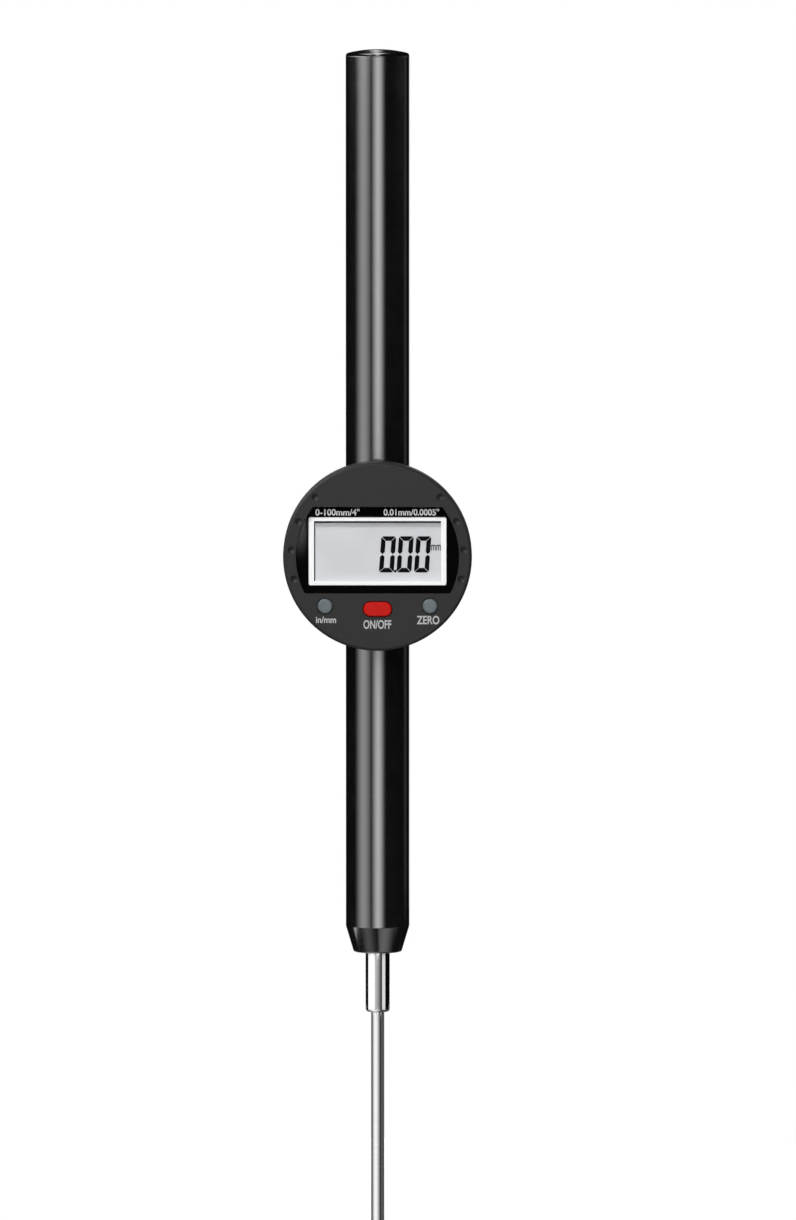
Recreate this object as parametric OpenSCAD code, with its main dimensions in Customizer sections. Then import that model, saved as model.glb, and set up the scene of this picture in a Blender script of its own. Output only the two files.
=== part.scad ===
// Long-travel digital indicator: a black tube with a round display head, a stem and a sliding spindle.
// Z runs up along the spindle, the display faces -Y, and the origin is the middle of the clamping stem.
// All sizes are in millimetres. The stored pose has the spindle fully out.

/* [Stem and nose] */
// Diameter of the clamping stem
stem_d = 8; // [7.6:0.1:10]
// Length of stem that stands out of the nose
stem_len = 20; // [12:0.5:30]
// Rounding of the stem's lower edge
stem_round = 1; // [0.4:0.1:1]
// Height of the conical nose
nose_len = 8.6; // [6:0.2:14]
// Diameter of the nose at its lower end
nose_end_d = 15.8; // [13:0.2:18]
// Rounding of the nose's lower edge
nose_round = 0.8; // [0.3:0.1:1.5]

/* [Spindle] */
// Diameter of the measuring spindle
spindle_d = 4.4; // [3.6:0.1:4.8]
// Measuring travel of the spindle
travel = 100; // [50:1:150]
// Length of the contact point below the spindle
point_len = 8; // [6:0.5:15]
// Diameter of the contact point's body
point_d = 5; // [4.6:0.1:6]
// Diameter of the measuring ball
ball_d = 3; // [2:0.1:3.4]

/* [Tube] */
// Outside diameter of the tubes
tube_d = 21; // [19:0.2:23]
// Wall of the tubes
tube_wall = 2; // [1.4:0.1:2.2]
// Height of the end cap's dome above its rounded edge
dome_h = 1.1; // [0.4:0.05:2]
// Rounding of the dome's edge
dome_edge = 1.2; // [0.4:0.1:1.8]
// Length of the nose and cap spigots inside the tubes
spigot_len = 8; // [5:0.5:12]

/* [Head] */
// Diameter of the display head
head_d = 62; // [56:0.5:70]
// Depth of the front cover ahead of the housing
cover_depth = 9.5; // [9.3:0.1:14]
// Rounding of the cover's front edge
face_round = 1; // [0.4:0.1:1.4]
// Height of the plain face above the display panel
crown_h = 14.6; // [13.5:0.1:16]
// Diameter of the dimples along the rim
dimple_d = 2.2; // [1:0.1:2.4]
// Depth of the dimples
dimple_depth = 0.5; // [0.2:0.05:0.8]

/* [Display] */
// Width of the rim at the sides of the display panel
window_margin = 4.2; // [4:0.1:5]
// Rounding of the panel's corners
window_corner = 0.8; // [0.3:0.1:1.5]
// Height of the black band above the white frame
head_band = 3.45; // [2.6:0.05:5]
// Height of the black band below the white frame
foot_band = 2.65; // [2.2:0.05:4]
// Distance of the white frame's corners from the panel's round sides
frame_margin = 0.75; // [0.7:0.05:2]
// Width of the white frame at the display's sides
frame_side = 1.75; // [1:0.05:2.2]
// Width of the white frame above and below the display
frame_band = 1.3; // [0.8:0.05:1.6]

/* [Buttons] */
// Diameter of the two round buttons
button_d = 4.9; // [4:0.1:5.4]
// Distance of the round buttons' centres from the head's edge
button_inset = 7.37; // [7.3:0.01:9]
// Angle of the round buttons below the middle of the head
button_turn = 43.3; // [40:0.1:46]
// Distance of the round buttons from the display panel
button_clear = 1.65; // [1:0.05:2]
// Width of the oval button
oval_w = 9.3; // [7:0.1:11]
// Height of the oval button
oval_h = 4.7; // [4:0.1:5.2]
// Drop of the oval button below the round ones
oval_drop = 1; // [0:0.05:1.5]
// Height of the buttons above the face
button_rise = 0.7; // [0.3:0.05:1.2]
// Travel of the buttons
button_travel = 0.5; // [0.2:0.05:0.6]

/* [Battery] */
// Diameter of the coin cell
cell_d = 20; // [16:0.5:20.5]
// Thickness of the coin cell
cell_h = 3.2; // [2:0.1:3.2]

/* [Hidden] */
$fn = 72;
// Radial clearance of pieces that are pressed, glued or screwed together
fit = 0.02;
// Radial clearance of the spindle in its bushes
bush_run = 0.03;
// Radial clearance of pieces that slide or turn in one another
run = 0.05;
// Gap around pieces that must never touch
gap = 0.3;
// Overlap that carries a cut past the face it opens
past = 1;
// Turn from one side of the object to the other
opposite = 180;

// Stem, bushes and nose
stem_r = stem_d / 2;
stem_bottom = -stem_len / 2;
nose_bottom = stem_len / 2;
nose_top = nose_bottom + nose_len;
spigot_top = nose_top + spigot_len;
nose_end_r = nose_end_d / 2;
stem_shoulder = 0.5;
shank_r = stem_r - stem_shoulder;
spindle_r = spindle_d / 2;
bush_wall = 0.5;
bush_bore_r = spindle_r + bush_run;
bush_r = bush_bore_r + bush_wall;
bush_seat_r = bush_r + fit;
stem_bore_r = spindle_r + gap;
bush_longest = 8;
bush_len = min(bush_longest, stem_len / 2);
mouth_len = 0.4;
wiper_len = 1.2;
lower_bush_bottom = stem_bottom + mouth_len + wiper_len;
lower_bush_top = lower_bush_bottom + bush_len;
upper_bush_bottom = spigot_top - min(bush_len, spigot_len);

// Tubes and cap
tube_r = tube_d / 2;
tube_ri = tube_r - tube_wall;
spigot_r = tube_ri - fit;
edge_break = 0.25;
dome_top = dome_edge + dome_h;
dome_flat_r = tube_r - dome_edge;
dome_ball_r = (pow(dome_flat_r, 2) + pow(dome_top, 2) - pow(dome_edge, 2)) / (2 * dome_h);
dome_join_r = dome_flat_r * dome_ball_r / (dome_ball_r - dome_edge);

// Radii of the head
head_r = head_d / 2;
skirt_wall = 1.9;
skirt_fit = 0.1;
skirt_r = head_r - skirt_wall;
housing_r = skirt_r - skirt_fit;
ring_wall = 9;
cavity_r = housing_r - ring_wall;
plate_ledge = 1.5;
recess_r = cavity_r + plate_ledge;
cover_step = 1.5;
cover_bore_r = housing_r - cover_step;
board_r = cover_bore_r - gap;
screw_inset = 3.4;
screw_ring_r = housing_r - screw_inset;

// Heights of the sensor and the head
carriage_gap = 5.1;
scale_margin = 1;
scale_bottom = spigot_top + carriage_gap;
stator_drop = 9.5;
stator_clear = 2.5;
stator_len = stator_drop + cavity_r - stator_clear;
stator_bottom = scale_bottom + travel + scale_margin;
stator_top = stator_bottom + stator_len;
scale_top = stator_top + scale_margin;
head_z = stator_bottom + stator_drop;

// Heights above the head
seat_web = 2;
socket_z = cavity_r + seat_web;
lower_seat = head_z - socket_z;
upper_seat = head_z + socket_z;
seat_lip = 0.6;
passage_r = tube_ri - seat_lip;
ring_h = 3;
ring_top = upper_seat + ring_h;
bumper_h = 1.5;
slider_bottom = ring_top + bumper_h;
slider_h = 10;
slider_top = slider_bottom + slider_h;
slider_r = tube_ri - run;
clip_h = 0.8;
clip_rim = 1.5;
clip_r = spindle_r + clip_rim;
clip_groove = 0.5;
clip_groove_r = spindle_r - clip_groove;
rod_end = 1.4;
rod_top = slider_top + clip_h + rod_end;
overrun = 2;
rod_bottom = stem_bottom - travel - overrun;
spring_room = 19.1;
cap_bottom = slider_top + travel + spring_room;
tube_top = cap_bottom + spigot_len;

// Contact point
thread_r = 1.25;
thread_len = 6;
thread_depth = 7;
point_r = point_d / 2;
point_shoulder = 3;
ball_r = ball_d / 2;
ball_z = rod_bottom - point_len + ball_r;
ball_grip = 0.15;
point_neck_r = ball_r - ball_grip;

// Guide rod and return spring
guide_r = 1;
guide_y = clip_r + gap + guide_r;
guide_grip = 4;
wire_r = 0.3;
coil_gap = 0.6;
coil_r = tube_ri - coil_gap - wire_r;
coil_turns = 22;
coil_rings = 10;
coil_sides = 6;

// Scale on its carrier
scale_t = 1;
carrier_room = 3.6;
carrier_front = tube_ri - carrier_room;
carrier_back = 0.8;
scale_front = carrier_front + scale_t;
passage_side = 0.6;
ring_web = 0.54;
passage_front = scale_front + passage_side;
passage_x = sqrt(pow(tube_ri - ring_web, 2) - pow(passage_front, 2));
scale_w = 2 * (passage_x - passage_side);

// Depths ahead of the spindle axis, from the housing to the face
socket_wall = 2;
housing_half = tube_r + socket_wall;
skirt_lap = 1.5;
skirt_back_d = housing_half - skirt_lap;
face_d = housing_half + cover_depth;
face_wall = 2.8;
wall_d = face_d - face_wall;
window_t = 1.4;
window_sink = 0.4;
window_front_d = face_d - window_sink;
mask_t = 0.2;
mask_front_d = window_front_d - window_t;
seat_d = mask_front_d - mask_t;
frame_t = 1.6;
lcd_front_d = seat_d - frame_t;
lcd_t = 2;
lcd_back_d = lcd_front_d - lcd_t;
strip_t = 1.2;
board_front_d = lcd_back_d - strip_t;
board_t = 1.2;
board_back_d = board_front_d - board_t;
plate_t = 1.5;
plate_back_d = housing_half - plate_t;
stator_t = 1.2;
stator_back_d = scale_front + gap;
stator_front_d = stator_back_d + stator_t;
housing_edge = 1;

// Round buttons on their ring, and the oval one between them
button_r = button_d / 2;
button_ring_r = head_r - button_inset;
button_x = button_ring_r * cos(button_turn);
button_low = button_ring_r * sin(button_turn);
inch_at = [-button_x, -button_low];
zero_at = [button_x, -button_low];
power_at = [0, -button_low - oval_drop];
oval_reach = (oval_w - oval_h) / 2;
button_edge = 0.4;
flange_lap = 0.8;
flange_t = 0.9;
flange_play = 0.1;
flange_front_d = wall_d - flange_play;
flange_back_d = flange_front_d - flange_t;
button_top_d = face_d + button_rise;
button_pin_r = 1.2;
switch_w = 4.2;
switch_h = 1.6;
switch_floor = 0.8;
switch_bore_depth = button_travel + switch_floor;
switch_spare = 0.2;
plunger_r = 0.9;
plunger_len = 1.1;
plunger_front_d = board_front_d + switch_h + button_travel + switch_spare;
plunger_back_d = plunger_front_d - plunger_len;

// Display panel, white frame and display
window_r = head_r - window_margin;
window_top = head_r - crown_h;
window_bottom = button_low - button_r - button_clear;
window_gap = 0.05;
ledge_side = 0.5;
ledge_band = 1.2;
frame_top = window_top - head_band;
frame_bottom = foot_band - window_bottom;
frame_h = frame_top - frame_bottom;
frame_rise = (frame_top + frame_bottom) / 2;
frame_w = 2 * sqrt(pow(window_r - frame_margin, 2) - pow(frame_top, 2));
lcd_w = frame_w - 2 * frame_side;
lcd_h = frame_h - 2 * frame_band;
frame_lap = 0.4;
frame_corner = 1.5;
frame_open_corner = 0.6;
glass_lap_x = 0.95;
glass_lap_z = 1.1;
glass_gap = 0.1;
glass_w = lcd_w + 2 * glass_lap_x;
glass_h = lcd_h + 2 * glass_lap_z;
holder_wall = 0.8;
strip_w = 2;
strip_inset = 1.5;

// Rim dimples
dimple_inset = 2.6;
dimple_ring_r = head_r - dimple_inset;
dimple_first = -15;
dimple_step = 19.6;
dimple_ball_r = (pow(dimple_d / 2, 2) + pow(dimple_depth, 2)) / (2 * dimple_depth);

// Cover screws, from the back of the housing
screw_r = 1.2;
screw_hole_r = screw_r + gap / 2;
screw_head_r = 2.1;
screw_head_h = 1.8;
screw_head_round = 0.4;
screw_sink = 2.5;
screw_sink_r = screw_head_r + gap;
screw_cover = 1.7;
screw_tip_d = wall_d - screw_cover;
boss_wall = 0.5;
boss_r = screw_r + boss_wall;
cover_screws_at = [for (turn = [51.3, 128.7, 209, 331]) screw_ring_r * [cos(turn), sin(turn)]];

// Screws of the main board
board_screw_r = 0.8;
board_screw_hole_r = board_screw_r + gap / 2;
board_screw_head_r = 1.5;
board_screw_head_h = 0.9;
board_boss_r = 2 * board_screw_r;
board_screw_inset = 4.5;
board_screws_at = [for (turn = [66, 114, 246, 294]) (board_r - board_screw_inset) * [cos(turn), sin(turn)]];
board_screw_cover = 0.8;
board_screw_tip_d = wall_d - board_screw_cover;

// Main board parts and the pin header
chip_w = 9;
chip_t = 1;
chip_inset = 6.2;
chip_at = (cavity_r - chip_inset) * [0.87, 0.72];
header_x = 4.8;
header_z = 1.2;
header_h = 2.5;
header_margin = 2;
header_at = header_margin - stator_drop;
header_pins = 7;
header_pitch = 1.27;
pin_w = 0.6;

// Sensor plate legs
stator_x = 8;
leg_edge = 0.2;
leg_w = 2.6;
leg_x = stator_x - leg_edge - leg_w / 2;
leg_margin = 1.5;

// Battery tray, hatch and back cover, as depths behind the spindle axis
cell_r = cell_d / 2;
back_y = housing_half;
back_t = 2.2;
back_outer_y = back_y + back_t;
back_rim = 0.6;
back_r = housing_r - back_rim;
back_edge = 0.6;
back_screw_turn = 18;
back_screw_r = 0.9;
back_head_r = 1.9;
back_head_h = 1.1;
back_head_slope = (back_head_r - back_screw_r) / back_head_h;
back_screw_len = 7;
hatch_neck = 2;
hatch_neck_r = cell_r + hatch_neck;
hatch_lip = 2;
hatch_flange_r = hatch_neck_r + hatch_lip;
hatch_flange_t = 0.95;
hatch_flange_y = back_outer_y - hatch_flange_t;
hatch_hole_r = hatch_neck_r + 2 * run;
hatch_seat_y = hatch_flange_y - run;
hatch_skirt = 1.4;
hatch_inner_y = back_y - hatch_skirt;
hatch_room_depth = 0.9;
hatch_room_y = hatch_inner_y + hatch_room_depth;
hatch_room = 1.2;
hatch_room_r = cell_r + hatch_room;
lug_reach = 1.6;
lug_r = hatch_neck_r + lug_reach;
lug_top_y = back_y - gap;
lug_half = 20;
notch_half = 23;
hatch_turn = 50;
slot_end = 3;
slot_len = cell_d - 2 * slot_end;
slot_w = 1.6;
slot_depth = 1.2;
ring_r = 0.45;
ring_mid_r = hatch_hole_r - run - ring_r;
ring_depth = 1.6;
ring_y = back_outer_y - ring_depth;
cell_sink = 0.7;
cell_back_y = back_y - cell_sink;
cell_front_y = cell_back_y - cell_h;
cell_round = 0.3;
cell_step = 0.6;
cell_rim = 1.4;
contact_t = 0.2;
tray_floor_y = cell_front_y - contact_t;
tray_base_t = 1;
tray_base_y = tray_floor_y - tray_base_t;
tray_rim = 6.4;
tray_r = cell_r + tray_rim;
cell_play = 0.15;
tray_wall = 0.85;
tray_wall_ri = cell_r + cell_play;
tray_wall_ro = tray_wall_ri + tray_wall;
tray_wall_y = hatch_inner_y - gap;
tray_post_r = 1;
tray_post_ring = tray_r - tray_post_r;
contact_w = 4;
contact_reach = 3.3;
tab_len = 4.8;
tab_x = cell_r + tab_len;
upright_x = cell_r + fit;
upright_t = 0.3;
lead_inset = 0.8;
lead_x = tab_x - lead_inset;
lead_r = 0.5;
lead_hole_r = lead_r + gap;

// Colours
STEEL = [0.72, 0.73, 0.75];
BRIGHT = [0.82, 0.82, 0.83];
LACQUER = [0.1, 0.1, 0.105];
BRONZE = [0.72, 0.5, 0.25];
ALLOY = [0.2, 0.2, 0.21];
BLACK = [0.04, 0.04, 0.045];
GRAPHITE = [0.2, 0.2, 0.2];
CLEAR = [0.75, 0.8, 0.82, 0.3];
WHITE = [0.93, 0.93, 0.93];
GLASS = [0.8, 0.81, 0.83];
RUBBER = [0.1, 0.1, 0.1];
BOARD = [0.08, 0.32, 0.18];
BRASS = [0.78, 0.62, 0.3];
GREY = [0.4, 0.43, 0.45];
RED = [0.75, 0.13, 0.1];
AMBER = [0.7, 0.6, 0.35];

function spot(c) = [c[0], c[1]];
function rounding(c) = len(c) > 2 ? c[2] : 0;
function way(from, to) = (spot(to) - spot(from)) / norm(spot(to) - spot(from));
function half_angle(a, p, b) = acos(way(p, a) * way(p, b)) / 2;
function corner_points(a, p, b) =
    rounding(p) == 0
        ? [spot(p)]
        : let (cut = rounding(p) / tan(half_angle(a, p, b)))
            [spot(p) + cut * way(p, a), spot(p) + cut * way(p, b)];
function corner_centre(a, p, b) =
    let (middle = way(p, a) + way(p, b))
        spot(p) + middle / norm(middle) * rounding(p) / sin(half_angle(a, p, b));

// Outline through corners [x, y, rounding], where only outward corners are rounded
module rounded(corners) {
    n = len(corners);
    polygon([
        for (i = [0 : n - 1])
            each corner_points(corners[(i + n - 1) % n], corners[i], corners[(i + 1) % n])
    ]);
    for (i = [0 : n - 1])
        if (rounding(corners[i]) > 0)
            corner_arc(corners[(i + n - 1) % n], corners[i], corners[(i + 1) % n]);
}

// Round filling from a corner's middle out to its two sides
module corner_arc(a, p, b) {
    ends = corner_points(a, p, b);
    intersection() {
        translate(corner_centre(a, p, b)) circle(rounding(p));
        polygon([ends[0], spot(p), ends[1], corner_centre(a, p, b)]);
    }
}

// Rectangle about the origin with round corners
module plate_outline(w, h, r) {
    square([w, h - 2 * r], center = true);
    square([w - 2 * r, h], center = true);
    for (x = [-1, 1], y = [-1, 1])
        translate([x * (w / 2 - r), y * (h / 2 - r)]) circle(r);
}

// Oval with straight sides
module oval_outline(grow) {
    square([2 * oval_reach, oval_h + 2 * grow], center = true);
    for (x = [-1, 1])
        translate([x * oval_reach, 0]) circle(oval_h / 2 + grow);
}

// Round outline cut flat above and below, with its corners rounded
module window_outline(r, top, bottom, corner) {
    top_x = sqrt(pow(r - corner, 2) - pow(top - corner, 2));
    low_x = sqrt(pow(r - corner, 2) - pow(bottom - corner, 2));
    top_join = (top - corner) * r / (r - corner);
    low_join = (bottom - corner) * r / (r - corner);
    intersection() {
        circle(r);
        translate([-r, -low_join]) square([2 * r, top_join + low_join]);
    }
    translate([-top_x, 0]) square([2 * top_x, top]);
    translate([-low_x, -bottom]) square([2 * low_x, bottom]);
    for (side = [-1, 1]) {
        translate([side * top_x, top - corner]) circle(corner);
        translate([side * low_x, corner - bottom]) circle(corner);
    }
}

// Sector about the origin that points along an angle
module sector(middle, half, r) {
    polygon([
        [0, 0],
        [r * cos(middle - half), r * sin(middle - half)],
        [r / cos(half) * cos(middle), r / cos(half) * sin(middle)],
        [r * cos(middle + half), r * sin(middle + half)]
    ]);
}

// Passage for the spindle and its scale
module passage_outline() {
    circle(spindle_r + passage_side);
    translate([-passage_x, -passage_front]) square([2 * passage_x, passage_front]);
}

// Turned piece on the spindle axis
module turned(corners) {
    rotate_extrude() rounded(corners);
}

// Turned piece on an axis across the head, with corners [radius, depth ahead of the spindle axis]
module face_turned(at, corners) {
    translate([at[0], 0, head_z + at[1]]) rotate([90, 0, 0]) rotate_extrude() rounded(corners);
}

// Flat shape, seen from the front and centred on the head, between two depths ahead of the spindle axis
module face_slab(back, front) {
    translate([0, -back, head_z]) rotate([90, 0, 0]) linear_extrude(front - back) children();
}

// Flat shape across the tube, between two heights
module tube_slab(bottom, top) {
    translate([0, 0, bottom]) linear_extrude(top - bottom) children();
}

module stem() {
    color(STEEL) turned([
        [bush_seat_r, stem_bottom], [stem_r, stem_bottom, stem_round], [stem_r, nose_bottom],
        [shank_r, nose_bottom], [shank_r, spigot_top], [bush_seat_r, spigot_top],
        [bush_seat_r, upper_bush_bottom], [stem_bore_r, upper_bush_bottom],
        [stem_bore_r, lower_bush_top], [bush_seat_r, lower_bush_top]
    ]);
}

module bush(bottom, top) {
    color(BRONZE) tube_slab(bottom, top) difference() {
        circle(bush_r);
        circle(bush_bore_r);
    }
}

module lower_bush() {
    bush(lower_bush_bottom, lower_bush_top);
}

module upper_bush() {
    bush(upper_bush_bottom, spigot_top);
}

module wiper_ring() {
    color(RUBBER) tube_slab(stem_bottom + mouth_len, lower_bush_bottom) difference() {
        circle(bush_r);
        circle(spindle_r + run);
    }
}

module nose_cone() {
    color(LACQUER) turned([
        [shank_r + fit, nose_bottom], [nose_end_r, nose_bottom, nose_round], [tube_r, nose_top],
        [spigot_r, nose_top], [spigot_r, spigot_top], [shank_r + fit, spigot_top]
    ]);
}

module lower_tube() {
    color(LACQUER) turned([
        [tube_ri, nose_top], [tube_r, nose_top], [tube_r, lower_seat], [tube_ri, lower_seat]
    ]);
}

module upper_tube() {
    color(LACQUER) turned([
        [tube_ri, upper_seat], [tube_r, upper_seat], [tube_r, tube_top - edge_break],
        [tube_r - edge_break, tube_top], [tube_ri, tube_top]
    ]);
}

module end_cap() {
    color(LACQUER) difference() {
        translate([0, 0, tube_top]) rotate_extrude() {
            intersection() {
                translate([0, dome_top - dome_ball_r]) circle(dome_ball_r);
                square([dome_join_r, dome_top]);
            }
            intersection() {
                translate([dome_flat_r, 0]) circle(dome_edge);
                square([tube_r, dome_edge]);
            }
            translate([0, -spigot_len]) square([spigot_r, spigot_len]);
        }
        translate([0, guide_y, cap_bottom - past]) cylinder(h = guide_grip + past, r = guide_r + fit);
    }
}

module guide_rod() {
    color(STEEL) translate([0, guide_y, upper_seat])
        cylinder(h = cap_bottom + guide_grip - fit - upper_seat, r = guide_r);
}

module stop_ring() {
    color(BRASS) tube_slab(upper_seat, ring_top) difference() {
        circle(spigot_r);
        passage_outline();
        translate([0, guide_y]) circle(guide_r + fit);
    }
}

module stop_bumper() {
    color(RUBBER) tube_slab(ring_top, slider_bottom) difference() {
        circle(spigot_r);
        passage_outline();
        translate([0, guide_y]) circle(guide_r + fit);
    }
}

module return_spring() {
    steps = coil_turns * coil_rings;
    low = slider_top + wire_r;
    high = cap_bottom - wire_r;
    points = [
        for (i = [0 : steps])
            for (j = [0 : coil_sides - 1])
                let (
                    turn = 360 * i / coil_rings,
                    side = 360 * j / coil_sides,
                    r = coil_r + wire_r * cos(side)
                )
                    [r * cos(turn), r * sin(turn), low + (high - low) * i / steps + wire_r * sin(side)]
    ];
    walls = [
        for (i = [0 : steps - 1])
            for (j = [0 : coil_sides - 1])
                let (a = i * coil_sides, b = a + coil_sides, k = (j + 1) % coil_sides)
                    each [[a + j, b + j, a + k], [a + k, b + j, b + k]]
    ];
    start = [for (j = [0 : coil_sides - 1]) j];
    end = [for (j = [0 : coil_sides - 1]) (steps + 1) * coil_sides - 1 - j];
    color(STEEL) polyhedron(points, concat([start], walls, [end]));
}

module head_housing() {
    color(ALLOY) difference() {
        face_turned([0, 0], [
            [cavity_r, -housing_half], [housing_r, -housing_half, housing_edge], [housing_r, housing_half],
            [recess_r, housing_half], [recess_r, plate_back_d], [cavity_r, plate_back_d]
        ]);
        translate([0, 0, upper_seat]) cylinder(h = housing_r, r = tube_r + fit);
        translate([0, 0, lower_seat - housing_r]) cylinder(h = housing_r, r = tube_r + fit);
        tube_slab(lower_seat - past, upper_seat + past) circle(passage_r);
        for (at = cover_screws_at) {
            face_slab(-housing_half - past, housing_half + past) translate(at) circle(screw_hole_r);
            face_slab(-housing_half - past, screw_sink - housing_half) translate(at) circle(screw_sink_r);
        }
        for (turn = [0 : 3])
            face_slab(-housing_half - past, back_screw_len - housing_half)
                translate(back_screw_at(turn)) circle(back_screw_r + fit);
    }
}

function back_screw_at(i) =
    let (turn = floor(i / 2) * opposite + (i % 2 * 2 - 1) * back_screw_turn)
        [screw_ring_r * cos(turn), screw_ring_r * sin(turn)];

module front_cover() {
    color(GRAPHITE) difference() {
        union() {
            face_turned([0, 0], [
                [skirt_r, skirt_back_d], [head_r, skirt_back_d], [head_r, face_d, face_round], [0, face_d],
                [0, wall_d], [cover_bore_r, wall_d], [cover_bore_r, housing_half], [skirt_r, housing_half]
            ]);
            for (at = cover_screws_at)
                face_slab(housing_half, wall_d + fit) translate(at) circle(boss_r);
            for (at = board_screws_at)
                face_slab(board_front_d, wall_d + fit) translate(at) circle(board_boss_r);
        }
        face_slab(seat_d, face_d + past) window_outline(window_r, window_top, window_bottom, window_corner);
        face_slab(wall_d - past, seat_d + past) ledge_outline();
        for (at = [inch_at, zero_at])
            face_slab(wall_d - past, face_d + past) translate(at) circle(button_r + gap);
        face_slab(wall_d - past, face_d + past) translate(power_at) oval_outline(gap);
        for (at = cover_screws_at)
            face_slab(housing_half - past, screw_tip_d + gap) translate(at) circle(screw_r + fit);
        for (at = board_screws_at)
            face_slab(board_front_d - past, board_screw_tip_d + gap)
                translate(at) circle(board_screw_r + fit);
        for (side = [0, 1], i = [0 : 3])
            let (turn = dimple_first + i * dimple_step, x = (1 - 2 * side) * dimple_ring_r * cos(turn))
                translate([x, dimple_depth - dimple_ball_r - face_d, head_z + dimple_ring_r * sin(turn)])
                    sphere(dimple_ball_r);
    }
}

// Opening behind the panel, smaller than the panel by the ledge that carries it
module ledge_outline() {
    window_outline(
        window_r - ledge_side, window_top - ledge_band, window_bottom - ledge_band, window_corner
    );
}

module cover_screws() {
    head_back = screw_sink - housing_half;
    color(STEEL) for (at = cover_screws_at)
        face_turned(at, [
            [0, head_back - screw_head_h], [screw_head_r, head_back - screw_head_h, screw_head_round],
            [screw_head_r, head_back], [screw_r, head_back], [screw_r, screw_tip_d], [0, screw_tip_d]
        ]);
}

module display_window() {
    color(CLEAR) face_slab(mask_front_d, window_front_d)
        window_outline(
            window_r - window_gap, window_top - window_gap, window_bottom - window_gap, window_corner
        );
}

module window_mask() {
    color(BLACK) face_slab(seat_d, mask_front_d) difference() {
        window_outline(
            window_r - window_gap, window_top - window_gap, window_bottom - window_gap, window_corner
        );
        translate([0, frame_rise]) plate_outline(frame_w, frame_h, frame_open_corner);
    }
}

module lcd_frame() {
    color(WHITE) face_slab(lcd_front_d, seat_d) difference() {
        intersection() {
            translate([0, frame_rise])
                plate_outline(frame_w + 2 * frame_lap, frame_h + 2 * frame_lap, frame_corner);
            circle(window_r - ledge_side - glass_gap);
        }
        translate([0, frame_rise]) square([lcd_w, lcd_h], center = true);
    }
}

module lcd_panel() {
    color(GLASS) face_slab(lcd_back_d, lcd_front_d) translate([0, frame_rise])
        square([glass_w, glass_h], center = true);
}

module lcd_holder() {
    hold_w = glass_w + 2 * glass_gap;
    hold_h = glass_h + 2 * glass_gap;
    color(BLACK) face_slab(board_front_d, lcd_front_d) difference() {
        intersection() {
            translate([0, frame_rise])
                square([hold_w + 2 * holder_wall, hold_h + 2 * holder_wall], center = true);
            circle(board_r);
        }
        translate([0, frame_rise]) square([hold_w, hold_h], center = true);
    }
}

module contact_strips() {
    color(RUBBER) for (side = [-1, 1])
        face_slab(board_front_d, lcd_back_d) translate([0, frame_rise + side * lcd_h / 2])
            square([lcd_w - strip_inset, strip_w], center = true);
}

module main_board() {
    color(BOARD) face_slab(board_back_d, board_front_d) difference() {
        circle(board_r);
        for (at = cover_screws_at)
            translate(at) circle(boss_r + gap);
        for (at = board_screws_at)
            translate(at) circle(board_screw_hole_r);
    }
}

module board_screws() {
    color(STEEL) for (at = board_screws_at)
        face_turned(at, [
            [0, board_back_d - board_screw_head_h], [board_screw_head_r, board_back_d - board_screw_head_h],
            [board_screw_head_r, board_back_d], [board_screw_r, board_back_d],
            [board_screw_r, board_screw_tip_d], [0, board_screw_tip_d]
        ]);
}

module controller_chip() {
    color(BLACK) face_slab(board_back_d - chip_t, board_back_d) translate(chip_at)
        square(chip_w, center = true);
}

module key_switches() {
    color(BLACK) for (at = [inch_at, power_at, zero_at])
        difference() {
            face_slab(board_front_d, board_front_d + switch_h) translate(at) square(switch_w, center = true);
            face_slab(board_front_d + switch_h - switch_bore_depth, board_front_d + switch_h + past)
                translate(at) circle(plunger_r + run);
        }
}

module sensor_plate() {
    color(BLACK) {
        face_slab(plate_back_d, housing_half) difference() {
            circle(recess_r - 2 * run);
            translate([0, header_at])
                square([2 * (header_x + gap), 2 * (header_z + gap)], center = true);
            for (side = [-1, 1])
                translate([side * lead_x, 0]) circle(lead_hole_r);
        }
        for (side = [-1, 1])
            face_slab(stator_front_d, plate_back_d + fit)
                translate([side * leg_x, stator_len / 2 - stator_drop])
                    square([leg_w, stator_len - 2 * leg_margin], center = true);
    }
}

module sensor_board() {
    color(BOARD) face_slab(stator_back_d, stator_front_d)
        translate([-stator_x, -stator_drop]) square([2 * stator_x, stator_len]);
}

module pin_header() {
    color(BRASS) {
        face_slab(stator_front_d, stator_front_d + header_h) translate([0, header_at])
            square([2 * header_x, 2 * header_z], center = true);
        for (i = [0 : header_pins - 1])
            face_slab(stator_front_d + header_h - fit, board_back_d)
                translate([(i - (header_pins - 1) / 2) * header_pitch, header_at])
                    square(pin_w, center = true);
    }
}

module back_cover() {
    color(GRAPHITE) difference() {
        face_turned([0, 0], [
            [hatch_hole_r, -back_outer_y], [back_r, -back_outer_y, back_edge], [back_r, -back_y],
            [hatch_hole_r, -back_y]
        ]);
        face_slab(-back_outer_y - past, -hatch_seat_y) circle(hatch_flange_r + gap);
        face_slab(-back_outer_y - past, past - back_y) intersection() {
            circle(lug_r + gap);
            union() {
                sector(-hatch_turn, notch_half, 2 * lug_r);
                sector(opposite - hatch_turn, notch_half, 2 * lug_r);
            }
        }
        for (turn = [0 : 3])
            face_turned(back_screw_at(turn), [
                [0, -back_outer_y - past], [back_head_r + gap + past * back_head_slope, -back_outer_y - past],
                [back_screw_r + gap, back_head_h - back_outer_y], [back_screw_r + gap, past - back_y],
                [0, past - back_y]
            ]);
    }
}

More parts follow.
